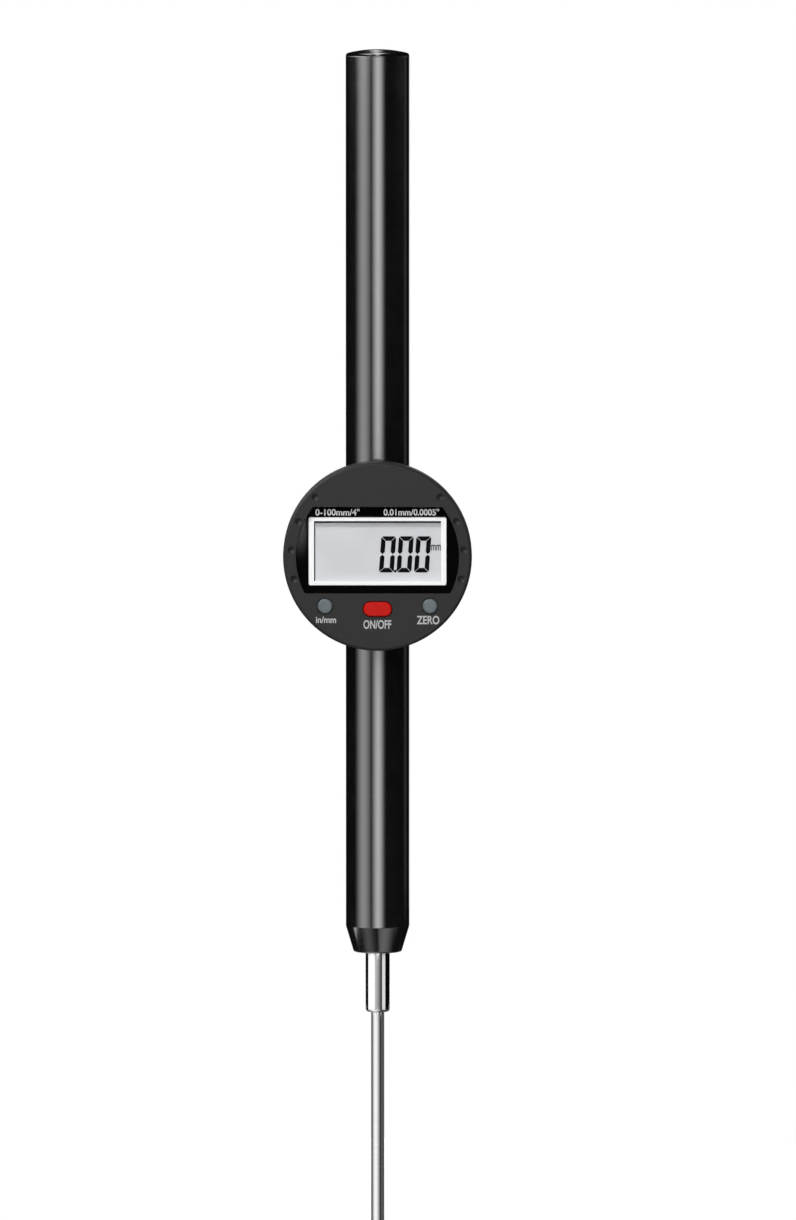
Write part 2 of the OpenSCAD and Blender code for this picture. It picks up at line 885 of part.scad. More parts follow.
module back_screws() {
    color(STEEL) for (turn = [0 : 3])
        face_turned(back_screw_at(turn), [
            [0, -back_outer_y], [back_head_r, -back_outer_y], [back_screw_r, back_head_h - back_outer_y],
            [back_screw_r, back_screw_len - gap - housing_half], [0, back_screw_len - gap - housing_half]
        ]);
}

module battery_tray() {
    color(BLACK) difference() {
        union() {
            face_slab(-tray_floor_y, -tray_base_y) circle(tray_r);
            face_slab(-tray_wall_y, -tray_floor_y + fit) difference() {
                circle(tray_wall_ro);
                circle(tray_wall_ri);
            }
            for (turn = [45 : 90 : 315])
                face_slab(-back_y, -tray_floor_y + fit) rotate(turn) translate([tray_post_ring, 0])
                    circle(tray_post_r);
        }
        face_slab(-tray_wall_y - past, -tray_floor_y) translate([-2 * cell_r, -contact_w / 2 - gap])
            square([4 * cell_r, contact_w + 2 * gap]);
        for (side = [-1, 1])
            face_slab(-tray_floor_y - past, past - tray_base_y) translate([side * lead_x, 0])
                circle(lead_hole_r);
    }
}

module coin_cell() {
    color(STEEL) face_turned([0, 0], [
        [0, -cell_back_y], [cell_r, -cell_back_y, cell_round], [cell_r, -cell_front_y - cell_step],
        [cell_r - cell_rim, -cell_front_y], [0, -cell_front_y]
    ]);
}

module minus_contact() {
    color(BRASS) face_slab(-cell_front_y, -tray_floor_y) translate([-tab_x, -contact_w / 2])
        square([tab_x + contact_reach, contact_w]);
}

module plus_contact() {
    color(BRASS) {
        face_slab(-cell_front_y, -tray_floor_y) translate([upright_x, -contact_w / 2])
            square([tab_x - upright_x, contact_w]);
        face_slab(-tray_wall_y, fit - cell_front_y) translate([upright_x, -contact_w / 2])
            square([upright_t, contact_w]);
    }
}

module battery_leads() {
    color(RED) for (side = [-1, 1])
        face_slab(-tray_floor_y, board_back_d) translate([side * lead_x, 0]) circle(lead_r);
}

module spindle_rod() {
    color(BRIGHT) turned([
        [thread_r + fit, rod_bottom], [spindle_r, rod_bottom], [spindle_r, slider_top],
        [clip_groove_r, slider_top], [clip_groove_r, slider_top + clip_h], [spindle_r, slider_top + clip_h],
        [spindle_r, rod_top], [0, rod_top], [0, rod_bottom + thread_depth],
        [thread_r + fit, rod_bottom + thread_depth]
    ]);
}

module contact_point() {
    color(STEEL) rotate_extrude() difference() {
        rounded([
            [0, ball_z], [point_neck_r, ball_z], [point_r, rod_bottom - point_shoulder],
            [point_r, rod_bottom], [thread_r, rod_bottom], [thread_r, rod_bottom + thread_len],
            [0, rod_bottom + thread_len]
        ]);
        translate([0, ball_z]) circle(ball_r + fit);
    }
}

module contact_ball() {
    color(BRIGHT) translate([0, 0, ball_z]) sphere(ball_r);
}

module scale_carrier() {
    color(ALLOY) tube_slab(scale_bottom, slider_bottom) difference() {
        translate([-scale_w / 2, -carrier_front]) square([scale_w, carrier_front - carrier_back]);
        circle(spindle_r + fit);
    }
}

module scale_strip() {
    color(AMBER) tube_slab(scale_bottom, scale_top) translate([-scale_w / 2, -scale_front])
        square([scale_w, scale_t]);
}

module top_slider() {
    color(WHITE) tube_slab(slider_bottom, slider_top) difference() {
        circle(slider_r);
        circle(spindle_r + fit);
        translate([0, guide_y]) circle(guide_r + run);
    }
}

module slider_clip() {
    color(STEEL) tube_slab(slider_top, slider_top + clip_h) difference() {
        circle(clip_r);
        circle(clip_groove_r + fit);
        translate([-clip_groove_r, -2 * clip_r]) square([2 * clip_groove_r, 2 * clip_r]);
    }
}

// Round push button: cap through the face, flange behind it and pin on the plunger
module round_button(at) {
    face_turned(at, [
        [0, plunger_front_d], [button_pin_r, plunger_front_d], [button_pin_r, flange_back_d],
        [button_r + flange_lap, flange_back_d], [button_r + flange_lap, flange_front_d],
        [button_r, flange_front_d], [button_r, button_top_d, button_edge], [0, button_top_d]
    ]);
}

// Round plunger of a key switch
module plunger(at) {
    color(GREY) face_slab(plunger_back_d, plunger_front_d) translate(at) circle(plunger_r);
}

module inch_mm_button() {
    color(GREY) round_button(inch_at);
}

module inch_mm_plunger() {
    plunger(inch_at);
}

module on_off_button() {
    color(RED) {
        face_slab(plunger_front_d, flange_back_d + fit) translate(power_at) circle(button_pin_r);
        face_slab(flange_back_d, flange_front_d) translate(power_at) oval_outline(flange_lap);
        face_slab(flange_front_d - fit, button_top_d) translate(power_at) oval_outline(0);
    }
}

module on_off_plunger() {
    plunger(power_at);
}

module zero_button() {
    color(GREY) round_button(zero_at);
}

module zero_plunger() {
    plunger(zero_at);
}

module battery_hatch() {
    color(GRAPHITE) difference() {
        union() {
            face_slab(-back_outer_y, -hatch_flange_y) circle(hatch_flange_r);
            face_slab(-hatch_flange_y - fit, -hatch_inner_y) circle(hatch_neck_r);
            face_slab(-lug_top_y, -hatch_inner_y) intersection() {
                circle(lug_r);
                union() {
                    sector(0, lug_half, 2 * lug_r);
                    sector(opposite, lug_half, 2 * lug_r);
                }
            }
        }
        face_slab(-hatch_room_y, past - hatch_inner_y) circle(hatch_room_r);
        face_slab(-back_outer_y - past, slot_depth - back_outer_y) square([slot_len, slot_w], center = true);
        face_turned([0, 0], [
            [ring_mid_r - ring_r, -ring_y - ring_r], [hatch_neck_r + past, -ring_y - ring_r],
            [hatch_neck_r + past, ring_r - ring_y], [ring_mid_r - ring_r, ring_r - ring_y]
        ]);
    }
}

module hatch_seal() {
    color(RUBBER) translate([0, ring_y, head_z]) rotate([90, 0, 0]) rotate_extrude()
        translate([ring_mid_r, 0]) circle(ring_r - fit);
}

stem();
lower_bush();
upper_bush();
wiper_ring();
nose_cone();
lower_tube();
upper_tube();
end_cap();
guide_rod();
stop_ring();
stop_bumper();
return_spring();
head_housing();
front_cover();
cover_screws();
display_window();
window_mask();
lcd_frame();
lcd_panel();
lcd_holder();
contact_strips();
main_board();
board_screws();
controller_chip();
key_switches();
sensor_plate();
sensor_board();
pin_header();
back_cover();
back_screws();
battery_tray();
coin_cell();
minus_contact();
plus_contact();
battery_leads();
spindle_rod();
contact_point();
contact_ball();
scale_carrier();
scale_strip();
top_slider();
slider_clip();
inch_mm_button();
inch_mm_plunger();
on_off_button();
on_off_plunger();
zero_button();
zero_plunger();
battery_hatch();
hatch_seal();
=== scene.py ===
import math

import bpy
from mathutils import Matrix, Vector


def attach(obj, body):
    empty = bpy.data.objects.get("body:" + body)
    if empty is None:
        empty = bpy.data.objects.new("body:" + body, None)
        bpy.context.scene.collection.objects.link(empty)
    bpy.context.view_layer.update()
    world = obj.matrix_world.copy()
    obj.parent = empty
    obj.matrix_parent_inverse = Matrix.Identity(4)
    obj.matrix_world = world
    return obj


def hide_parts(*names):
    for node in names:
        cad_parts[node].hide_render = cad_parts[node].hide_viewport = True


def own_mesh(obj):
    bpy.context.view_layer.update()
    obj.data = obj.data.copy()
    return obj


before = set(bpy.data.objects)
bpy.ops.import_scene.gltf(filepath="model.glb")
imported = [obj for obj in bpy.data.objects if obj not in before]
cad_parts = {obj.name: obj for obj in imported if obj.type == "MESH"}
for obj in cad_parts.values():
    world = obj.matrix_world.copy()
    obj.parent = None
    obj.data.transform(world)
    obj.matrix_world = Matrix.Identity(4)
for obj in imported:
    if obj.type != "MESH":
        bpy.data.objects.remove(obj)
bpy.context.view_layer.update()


# CLAMPING STEM
# The ground steel sleeve that a stand grips. It is turned from bar, bored for two bronze bushes,
# and its thinner shank is pressed into the nose above it.
MM = 0.001
AXIS = 0.0002
CENTRE = AXIS / 4
FLAT = 0.99999
STEM_R, SHANK_R = 4.0, 3.5
STEM_BOTTOM, NOSE_BOTTOM, SPIGOT_TOP = -10.0, 10.0, 26.6
BUSH_SEAT_R, STEM_BORE_R, STEM_EDGE = 2.75, 2.5, 1.0
LOW_BUSH_TOP, HIGH_BUSH_BOTTOM = -0.4, 18.6


def corner_path(corners, steps):
    """Points along a closed outline, with an arc at each corner that has a third number, its radius."""
    path = []
    for i, corner in enumerate(corners):
        point = Vector(corner[:2])
        if len(corner) == 2:
            path.append(point)
            continue
        before = (Vector(corners[i - 1][:2]) - point).normalized()
        after = (Vector(corners[(i + 1) % len(corners)][:2]) - point).normalized()
        half = before.angle(after) / 2
        centre = point + (before + after).normalized() * corner[2] / math.sin(half)
        spoke = point + before * corner[2] / math.tan(half) - centre
        turn = spoke.angle_signed(point + after * corner[2] / math.tan(half) - centre)
        path += [centre + Matrix.Rotation(-turn * k / steps, 2) @ spoke for k in range(steps + 1)]
    return path


def settled(name, angle=30):
    """Names the finished active object, puts its place into its mesh and smooths its curved faces."""
    piece = bpy.context.object
    piece.name = piece.data.name = name
    bpy.ops.object.transform_apply(location=True, rotation=True, scale=True)
    bpy.ops.object.shade_smooth_by_angle(angle=math.radians(angle))
    for face in piece.data.polygons:
        if max(map(abs, face.normal)) > FLAT:
            face.use_smooth = False
    even = piece.modifiers.new("even", "WEIGHTED_NORMAL")
    even.keep_sharp = True
    even.weight = 100
    bpy.ops.object.modifier_apply(modifier="even")
    return piece


def turned(name, corners, segments=128, steps=6, across=None):
    """Turns a closed profile of (radius, height) about the tube's axis, or about a face axis at (x, z)."""
    path = corner_path(corners, steps)
    bpy.ops.object.select_all(action="DESELECT")
    bpy.ops.mesh.primitive_circle_add(
        vertices=segments, radius=path[0].x * MM, location=(0, 0, path[0].y * MM), enter_editmode=True)
    for old, new in zip(path, path[1:] + path[:1]):
        bpy.ops.mesh.extrude_region_move(TRANSFORM_OT_translate={"value": (0, 0, (new.y - old.y) * MM)})
        grow = new.x / old.x
        bpy.ops.transform.resize(value=(grow, grow, 1), center_override=(0, 0, new.y * MM))
    bpy.ops.mesh.select_all(action="SELECT")
    bpy.ops.mesh.remove_doubles(threshold=AXIS * MM)
    bpy.ops.mesh.delete_loose()
    bpy.ops.mesh.select_all(action="SELECT")
    bpy.ops.mesh.normals_make_consistent(inside=False)
    bpy.ops.object.mode_set(mode="OBJECT")
    bpy.ops.object.transform_apply(location=True, rotation=True, scale=True)
    if across:
        face_forward(across)
    return settled(name)


def surface_marks():
    """Colour, roughness and height of one pattern of fine marks, shared by all the finishes."""
    group = bpy.data.node_groups.new("surface_marks", "ShaderNodeTree")
    for socket, kind in (("Marks per metre", "Vector"), ("Dark", "Color"), ("Light", "Color"),
                         ("Glossy", "Float"), ("Dull", "Float")):
        group.interface.new_socket(socket, in_out="INPUT", socket_type="NodeSocket" + kind)
    for socket, kind in (("Colour", "Color"), ("Roughness", "Float"), ("Height", "Float")):
        group.interface.new_socket(socket, in_out="OUTPUT", socket_type="NodeSocket" + kind)
    nodes, links = group.nodes, group.links
    entry, leave = nodes.new("NodeGroupInput"), nodes.new("NodeGroupOutput")
    place = nodes.new("ShaderNodeTexCoord")
    stretch = nodes.new("ShaderNodeVectorMath")
    stretch.operation = "MULTIPLY"
    noise = nodes.new("ShaderNodeTexNoise")
    noise.inputs["Scale"].default_value = 1
    noise.inputs["Detail"].default_value = 3
    level = nodes.new("ShaderNodeMapRange")
    level.inputs["From Min"].default_value, level.inputs["From Max"].default_value = 0.3, 0.7
    tone = nodes.new("ShaderNodeMix")
    tone.data_type = "RGBA"
    gloss = nodes.new("ShaderNodeMapRange")
    links.new(place.outputs["Object"], stretch.inputs[0])
    links.new(entry.outputs["Marks per metre"], stretch.inputs[1])
    links.new(stretch.outputs["Vector"], noise.inputs["Vector"])
    links.new(noise.outputs["Fac"], level.inputs["Value"])
    links.new(level.outputs["Result"], tone.inputs["Factor"])
    links.new(entry.outputs["Dark"], tone.inputs["A"])
    links.new(entry.outputs["Light"], tone.inputs["B"])
    links.new(level.outputs["Result"], gloss.inputs["Value"])
    links.new(entry.outputs["Glossy"], gloss.inputs["To Min"])
    links.new(entry.outputs["Dull"], gloss.inputs["To Max"])
    links.new(tone.outputs["Result"], leave.inputs["Colour"])
    links.new(gloss.outputs["Result"], leave.inputs["Roughness"])
    links.new(level.outputs["Result"], leave.inputs["Height"])
    return group


MARKS = surface_marks()


def finish(name, dark, light, rough, marks, relief, **sockets):
    """A material whose colour, gloss and relief (in mm) follow fine marks, so many per metre each way."""
    material = bpy.data.materials.new(name)
    material.use_nodes = True
    nodes, links = material.node_tree.nodes, material.node_tree.links
    shader = nodes["Principled BSDF"]
    for socket, value in sockets.items():
        shader.inputs[socket.replace("_", " ")].default_value = value
    pattern = nodes.new("ShaderNodeGroup")
    pattern.node_tree = MARKS
    pattern.inputs["Marks per metre"].default_value = marks
    pattern.inputs["Dark"].default_value = (*dark, 1)
    pattern.inputs["Light"].default_value = (*light, 1)
    pattern.inputs["Glossy"].default_value, pattern.inputs["Dull"].default_value = rough
    bump = nodes.new("ShaderNodeBump")
    bump.inputs["Distance"].default_value = relief * MM
    links.new(pattern.outputs["Colour"], shader.inputs["Base Color"])
    links.new(pattern.outputs["Roughness"], shader.inputs["Roughness"])
    links.new(pattern.outputs["Height"], bump.inputs["Height"])
    links.new(bump.outputs["Normal"], shader.inputs["Normal"])
    return material


def coat(material, *cad_nodes):
    """Gives CAD nodes that are shown as they are their finish."""
    for node in cad_nodes:
        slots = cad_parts[node].data.materials
        slots.clear()
        slots.append(material)


def fitted(piece, material, slot, body, *cad_nodes):
    """Gives a piece its finish, sets it on its body, and lets it stand for its CAD nodes; the slot is not
    used.
    """
    piece.data.materials.clear()
    piece.data.materials.append(material)
    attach(piece, body)
    if cad_nodes:
        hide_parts(*cad_nodes)
    return piece


ground_steel = finish("ground_steel", (0.56, 0.56, 0.57), (0.62, 0.62, 0.63), (0.07, 0.11),
                      (200, 200, 9000), 0.0001, Metallic=1)
clamping_stem = turned("clamping_stem", [
    (BUSH_SEAT_R, STEM_BOTTOM), (STEM_R, STEM_BOTTOM, STEM_EDGE), (STEM_R, NOSE_BOTTOM),
    (SHANK_R, NOSE_BOTTOM), (SHANK_R, SPIGOT_TOP), (BUSH_SEAT_R, SPIGOT_TOP),
    (BUSH_SEAT_R, HIGH_BUSH_BOTTOM), (STEM_BORE_R, HIGH_BUSH_BOTTOM),
    (STEM_BORE_R, LOW_BUSH_TOP), (BUSH_SEAT_R, LOW_BUSH_TOP)])
fitted(clamping_stem, ground_steel, "steel", "gauge_body", "stem")


# BUSHES AND WIPER
# Two thin bronze sleeves guide the spindle at the ends of the stem's bore. A rubber ring in the
# stem's mouth wipes the spindle clean.
bronze = finish("bush_bronze", (0.42, 0.26, 0.12), (0.52, 0.33, 0.16), (0.3, 0.42),
                (300, 300, 6000), 0.001, Metallic=1)
rubber = finish("moulded_rubber", (0.016, 0.016, 0.016), (0.03, 0.03, 0.03), (0.6, 0.75),
                (4000, 4000, 4000), 0.004)
coat(bronze, "lower_bush", "upper_bush")
coat(rubber, "wiper_ring", "stop_bumper", "contact_strips", "hatch_seal")


# NOSE
# The short cone that closes the lower tube. It is turned from steel, lacquered black with the
# tube, and its spigot is glued inside the tube's end.
TUBE_R, TUBE_RI = 10.5, 8.5
NOSE_TOP, NOSE_R, NOSE_EDGE = 18.6, 7.9, 0.8
SPIGOT_R, FIT = 8.48, 0.02
black_lacquer = finish("black_lacquer", (0.003, 0.003, 0.0033), (0.0045, 0.0045, 0.005), (0.14, 0.18),
                       (160, 160, 160), 0.0012, IOR=1.8,
                       Coat_Weight=1.0, Coat_Roughness=0.12, Coat_IOR=1.8)
nose = turned("lacquered_nose", [
    (SHANK_R + FIT, NOSE_BOTTOM), (NOSE_R, NOSE_BOTTOM, NOSE_EDGE), (TUBE_R, NOSE_TOP),
    (SPIGOT_R, NOSE_TOP), (SPIGOT_R, SPIGOT_TOP), (SHANK_R + FIT, SPIGOT_TOP)])
fitted(nose, black_lacquer, "tube_black", "gauge_body", "nose_cone")


# TUBES
# Two lengths of the same drawn steel tube, lacquered black. Each is set into a socket of the
# head, and their far ends are faced off square with a fine broken edge.
LOWER_SEAT, UPPER_SEAT, TUBE_TOP = 120.2, 164.2, 305.8
EDGE = 0.15
lower = turned("lower_black_tube", [
    (TUBE_RI, NOSE_TOP), (TUBE_R, NOSE_TOP, EDGE), (TUBE_R, LOWER_SEAT), (TUBE_RI, LOWER_SEAT)], steps=3)
fitted(lower, black_lacquer, "tube_black", "gauge_body", "lower_tube")
upper = turned("upper_black_tube", [
    (TUBE_RI, UPPER_SEAT), (TUBE_R, UPPER_SEAT), (TUBE_R, TUBE_TOP, EDGE), (TUBE_RI, TUBE_TOP)], steps=3)
fitted(upper, black_lacquer, "tube_black", "gauge_body", "upper_tube")


# END CAP
# A shallow domed plug that closes the upper tube. It is turned and lacquered like the tube, and
# its spigot, which also holds the guide rod's end, is a push fit.
CAP_BOTTOM, DOME_TOP, DOME_EDGE = 297.8, 2.3, 1.2
EDGE_STEPS, DOME_STEPS = 8, 16
dome_flat = TUBE_R - DOME_EDGE
dome_ball = (dome_flat ** 2 + DOME_TOP ** 2 - DOME_EDGE ** 2) / (2 * (DOME_TOP - DOME_EDGE))
dome_join = math.atan2(dome_ball - DOME_TOP, dome_flat)
cap_line = [(CENTRE, CAP_BOTTOM), (SPIGOT_R, CAP_BOTTOM), (SPIGOT_R, TUBE_TOP)]
for k in range(EDGE_STEPS + 1):
    turn = dome_join * k / EDGE_STEPS
    cap_line.append((dome_flat + DOME_EDGE * math.cos(turn), TUBE_TOP + DOME_EDGE * math.sin(turn)))
for k in range(1, DOME_STEPS + 1):
    turn = (math.pi / 2 - dome_join) * (1 - k / DOME_STEPS)
    cap_line.append((max(CENTRE, dome_ball * math.sin(turn)),
                     TUBE_TOP + DOME_TOP - dome_ball * (1 - math.cos(turn))))
cap = turned("domed_end_cap", cap_line)
fitted(cap, black_lacquer, "tube_black", "gauge_body", "end_cap")


# GUIDE AND STOP
# A steel guide rod keeps the spindle from turning. It stands on the brass ring that stops the
# spindle's slider at the lower end of its travel, with a rubber bumper between.
brass = finish("plain_brass", (0.5, 0.36, 0.13), (0.62, 0.46, 0.19), (0.25, 0.4),
               (500, 500, 3000), 0.001, Metallic=1)
coat(ground_steel, "guide_rod", "slider_clip")
coat(brass, "stop_ring")


# RETURN SPRING
# A long coil of thin spring wire between the slider and the end cap. It pushes the spindle out,
# and its turns close up as the spindle goes in.
SPRING_LOW, COIL_R, WIRE_R, COIL_TURNS = 178.7, 7.6, 0.3, 22
WIRE_SIDES, TURN_STEPS, WIRE_SMOOTH = 10, 36, 60
spring_wire = finish("spring_wire", (0.4, 0.4, 0.41), (0.55, 0.55, 0.56), (0.22, 0.34),
                     (900, 900, 900), 0.0006, Metallic=1)
bpy.ops.object.select_all(action="DESELECT")
bpy.ops.mesh.primitive_circle_add(
    vertices=WIRE_SIDES, radius=WIRE_R * MM, location=(COIL_R * MM, 0, (SPRING_LOW + WIRE_R) * MM),
    rotation=(math.pi / 2, 0, 0))
bpy.ops.object.transform_apply(location=True, rotation=True, scale=True)
coil = bpy.context.object.modifiers.new("coil", "SCREW")
coil.angle = math.tau
coil.screw_offset = (CAP_BOTTOM - SPRING_LOW - 2 * WIRE_R) / COIL_TURNS * MM
coil.iterations = COIL_TURNS
coil.steps = coil.render_steps = TURN_STEPS
coil.use_smooth_shade = True
bpy.ops.object.modifier_apply(modifier="coil")
bpy.ops.object.mode_set(mode="EDIT")
bpy.ops.mesh.select_all(action="SELECT")
bpy.ops.mesh.remove_doubles(threshold=AXIS * MM)
bpy.ops.mesh.select_all(action="DESELECT")
bpy.ops.mesh.select_non_manifold()
bpy.ops.mesh.edge_face_add()
bpy.ops.mesh.select_all(action="SELECT")
bpy.ops.mesh.normals_make_consistent(inside=False)
bpy.ops.object.mode_set(mode="OBJECT")
spring = fitted(settled("spring_coil", WIRE_SMOOTH), spring_wire, "steel", "gauge_body", "return_spring")
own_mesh(spring)


# SPINDLE
# The measuring rod, ground and polished, which slides in the bushes. Its lower end is drilled for
# the contact point, and a groove near its top takes the slider's clip.
SPINDLE_R, GROOVE_R, GROOVE_W = 2.2, 1.7, 0.8
ROD_BOTTOM, SLIDER_TOP, ROD_TOP = -112.0, 178.7, 180.9
TIP_HOLE_R, TIP_HOLE_TOP = 1.27, ROD_BOTTOM + 7
ROD_EDGE, ROD_TOP_EDGE = 0.2, 0.3
polished_steel = finish("polished_steel", (0.6, 0.6, 0.61), (0.66, 0.66, 0.67), (0.07, 0.11),
                        (160, 160, 7000), 0.0001, Metallic=1)
rod = turned("spindle_shaft", [
    (TIP_HOLE_R, ROD_BOTTOM), (SPINDLE_R, ROD_BOTTOM, ROD_EDGE), (SPINDLE_R, SLIDER_TOP),
    (GROOVE_R, SLIDER_TOP), (GROOVE_R, SLIDER_TOP + GROOVE_W), (SPINDLE_R, SLIDER_TOP + GROOVE_W),
    (SPINDLE_R, ROD_TOP, ROD_TOP_EDGE), (CENTRE, ROD_TOP), (CENTRE, TIP_HOLE_TOP),
    (TIP_HOLE_R, TIP_HOLE_TOP)], segments=96, steps=4)
fitted(rod, polished_steel, "bright_steel", "spindle", "spindle_rod")


# CONTACT POINT AND BALL
# The screwed-in tip: a turned steel body that tapers to a hard steel ball, which touches the
# work. A fine knurl round the body gives the fingers hold.
POINT_R, BALL_R, BALL_Z = 2.5, 1.5, -118.5
BALL_SEAT_R, TAPER_TOP, TAPER_EDGE, POINT_EDGE = 1.35, ROD_BOTTOM - 3, 0.3, 0.15
STUD_R, STUD_TOP = 1.25, ROD_BOTTOM + 6
KNURL_LOW, KNURL_HIGH, KNURL_END = ROD_BOTTOM - 2.5, ROD_BOTTOM - 0.5, 0.1
KNURL_RIBS, RIB_SIDES, KNURL_R, KNURL_SHARE = 30, 6, 2.45, 0.022
NEAR = 0.02
point = turned("contact_tip_body", [
    (CENTRE, BALL_Z), (BALL_SEAT_R, BALL_Z), (POINT_R, TAPER_TOP, TAPER_EDGE),
    (POINT_R, KNURL_LOW - KNURL_END), (KNURL_R, KNURL_LOW), (KNURL_R, KNURL_HIGH),
    (POINT_R, KNURL_HIGH + KNURL_END), (POINT_R, ROD_BOTTOM, POINT_EDGE), (STUD_R, ROD_BOTTOM),
    (STUD_R, STUD_TOP), (CENTRE, STUD_TOP)], segments=RIB_SIDES * KNURL_RIBS, steps=4)
for vertex in point.data.vertices:
    if KNURL_LOW - NEAR < vertex.co.z / MM < KNURL_HIGH + NEAR:
        turn = math.atan2(vertex.co.y, vertex.co.x) * KNURL_RIBS
        vertex.co.xy *= 1 + KNURL_SHARE * math.cos(turn)
fitted(point, ground_steel, "steel", "spindle", "contact_point")
BALL_STEPS = 24
ball_turns = [math.pi * (k / BALL_STEPS - 0.5) for k in range(BALL_STEPS + 1)]
ball = turned("tip_ball", [(max(CENTRE, BALL_R * math.cos(turn)), BALL_Z + BALL_R * math.sin(turn))
                           for turn in ball_turns], segments=64)
fitted(ball, polished_steel, "bright_steel", "spindle", "contact_ball")


# SLIDER AND SCALE
# A white plastic slider on the spindle's top runs along the guide rod. The etched scale strip is
# glued to a milled alloy carrier that is screwed to the spindle's side.
white_plastic = finish("white_plastic", (0.78, 0.78, 0.78), (0.84, 0.84, 0.84), (0.35, 0.45),
                       (3000, 3000, 3000), 0.002)
milled_alloy = finish("milled_alloy", (0.5, 0.5, 0.51), (0.64, 0.64, 0.65), (0.3, 0.42),
                      (4000, 300, 300), 0.001, Metallic=1)
scale_laminate = finish("scale_laminate", (0.24, 0.17, 0.06), (0.42, 0.31, 0.12), (0.4, 0.5),
                        (20, 20, 900), 0.001)
coat(white_plastic, "top_slider", "inch_mm_plunger", "on_off_plunger", "zero_plunger")
coat(milled_alloy, "scale_carrier")
coat(scale_laminate, "scale_strip")


# HEAD HOUSING
# The drum behind the face: an alloy ring, black anodised, bored across for both tubes. The front
# and back covers are screwed to it.
HEAD_Z = 142.2
HOUSING_R, HOUSING_HALF, HOUSING_EDGE = 29.0, 12.5, 1.0
CAVITY_R, LIP_R, LIP_D = 20.0, 21.5, 11.0
SOCKET_REACH, PASSAGE_R, OVERLAP = 32.0, 7.9, 1.0


def face_forward(at):
    """Turns the active object, drawn flat, to face forward at (x, z) from the head's middle."""
    shape = bpy.context.object
    shape.rotation_euler = (math.pi / 2, 0, 0)
    shape.location = (at[0] * MM, 0, (HEAD_Z + at[1]) * MM)


def cut_away(piece, *cutters):
    """Cuts other objects out of a piece and removes them."""
    for cutter in cutters:
        cut = piece.modifiers.new("cut", "BOOLEAN")
        cut.operation, cut.solver, cut.object = "DIFFERENCE", "EXACT", cutter
        bpy.context.view_layer.objects.active = piece
        bpy.ops.object.modifier_apply(modifier="cut")
        bpy.data.objects.remove(cutter)
    bpy.ops.object.select_all(action="DESELECT")
    piece.select_set(True)
    bpy.context.view_layer.objects.active = piece
    return settled(piece.name)


def rod_shape(name, radius, low, high, across=None):
    """A plain round rod to cut a hole with."""
    return turned(name, [(CENTRE, low), (radius, low), (radius, high), (CENTRE, high)], across=across)


anodised = finish("black_anodised", (0.018, 0.018, 0.0185), (0.028, 0.028, 0.029), (0.36, 0.46),
                  (2500, 2500, 2500), 0.002)
drum = turned("alloy_drum", [
    (CAVITY_R, -HOUSING_HALF), (HOUSING_R, -HOUSING_HALF, HOUSING_EDGE), (HOUSING_R, HOUSING_HALF),
    (LIP_R, HOUSING_HALF), (LIP_R, LIP_D), (CAVITY_R, LIP_D)], segments=192, across=(0, 0))
cut_away(drum, rod_shape("upper_socket", TUBE_R + FIT, UPPER_SEAT, HEAD_Z + SOCKET_REACH),
         rod_shape("lower_socket", TUBE_R + FIT, HEAD_Z - SOCKET_REACH, LOWER_SEAT),
         rod_shape("passage", PASSAGE_R, LOWER_SEAT - OVERLAP, UPPER_SEAT + OVERLAP))
fitted(drum, anodised, "dark_alloy", "gauge_body", "head_housing")


# BOARDS AND BATTERY PARTS
# What the head holds: the main board with its chip and key switches, the sensor board on its
# plate, the pins between them, and the coin cell in its tray with contacts and leads.
black_plastic = finish("black_plastic", (0.012, 0.012, 0.012), (0.022, 0.022, 0.022), (0.45, 0.55),
                       (3000, 3000, 3000), 0.003)
solder_mask = finish("solder_mask", (0.012, 0.07, 0.03), (0.03, 0.13, 0.06), (0.3, 0.42),
                     (900, 900, 900), 0.002)
red_lead = finish("red_lead", (0.32, 0.02, 0.014), (0.45, 0.035, 0.025), (0.35, 0.45),
                  (800, 800, 800), 0.001)
coat(ground_steel, "cover_screws", "board_screws", "coin_cell")
coat(solder_mask, "main_board", "sensor_board")
coat(black_plastic, "lcd_holder", "controller_chip", "key_switches", "sensor_plate", "battery_tray")
coat(brass, "pin_header", "minus_contact", "plus_contact")
coat(red_lead, "battery_leads")


# FRONT COVER
# The moulded face of the head, in dark grey plastic with a fine grain. It has a round rim, an
# opening for the display panel, holes for three buttons and a row of dimples at each side.
HEAD_R, FACE_D, WALL_D, WALL_R = 31.0, 22.0, 19.2, 27.5
SKIRT_R, SKIRT_D, SKIRT_EDGE, FACE_EDGE = 29.1, 11.0, 0.2, 1.0
SEAT_D, WINDOW_R, WINDOW_TOP, WINDOW_BOTTOM, WINDOW_CORNER = 20.0, 26.8, 16.4, 12.1, 0.8
LEDGE_SIDE, LEDGE_END = 0.5, 1.2
BUTTON_X, BUTTON_Z, BUTTON_R = 17.2, -16.2, 2.45
OVAL_Z, OVAL_W, OVAL_H = -17.2, 9.3, 4.7
BUTTON_GAP, ROUND_END = 0.3, 0.9999
DIMPLE_RING_R, DIMPLE_R, DIMPLE_FLOOR_R, DIMPLE_DEPTH = 28.4, 1.2, 0.25, 0.65
DIMPLES_A_SIDE, DIMPLE_START, DIMPLE_STEP = 4, -15, 19.6
ARC_STEPS, EDGE_CUTS = 48, 3


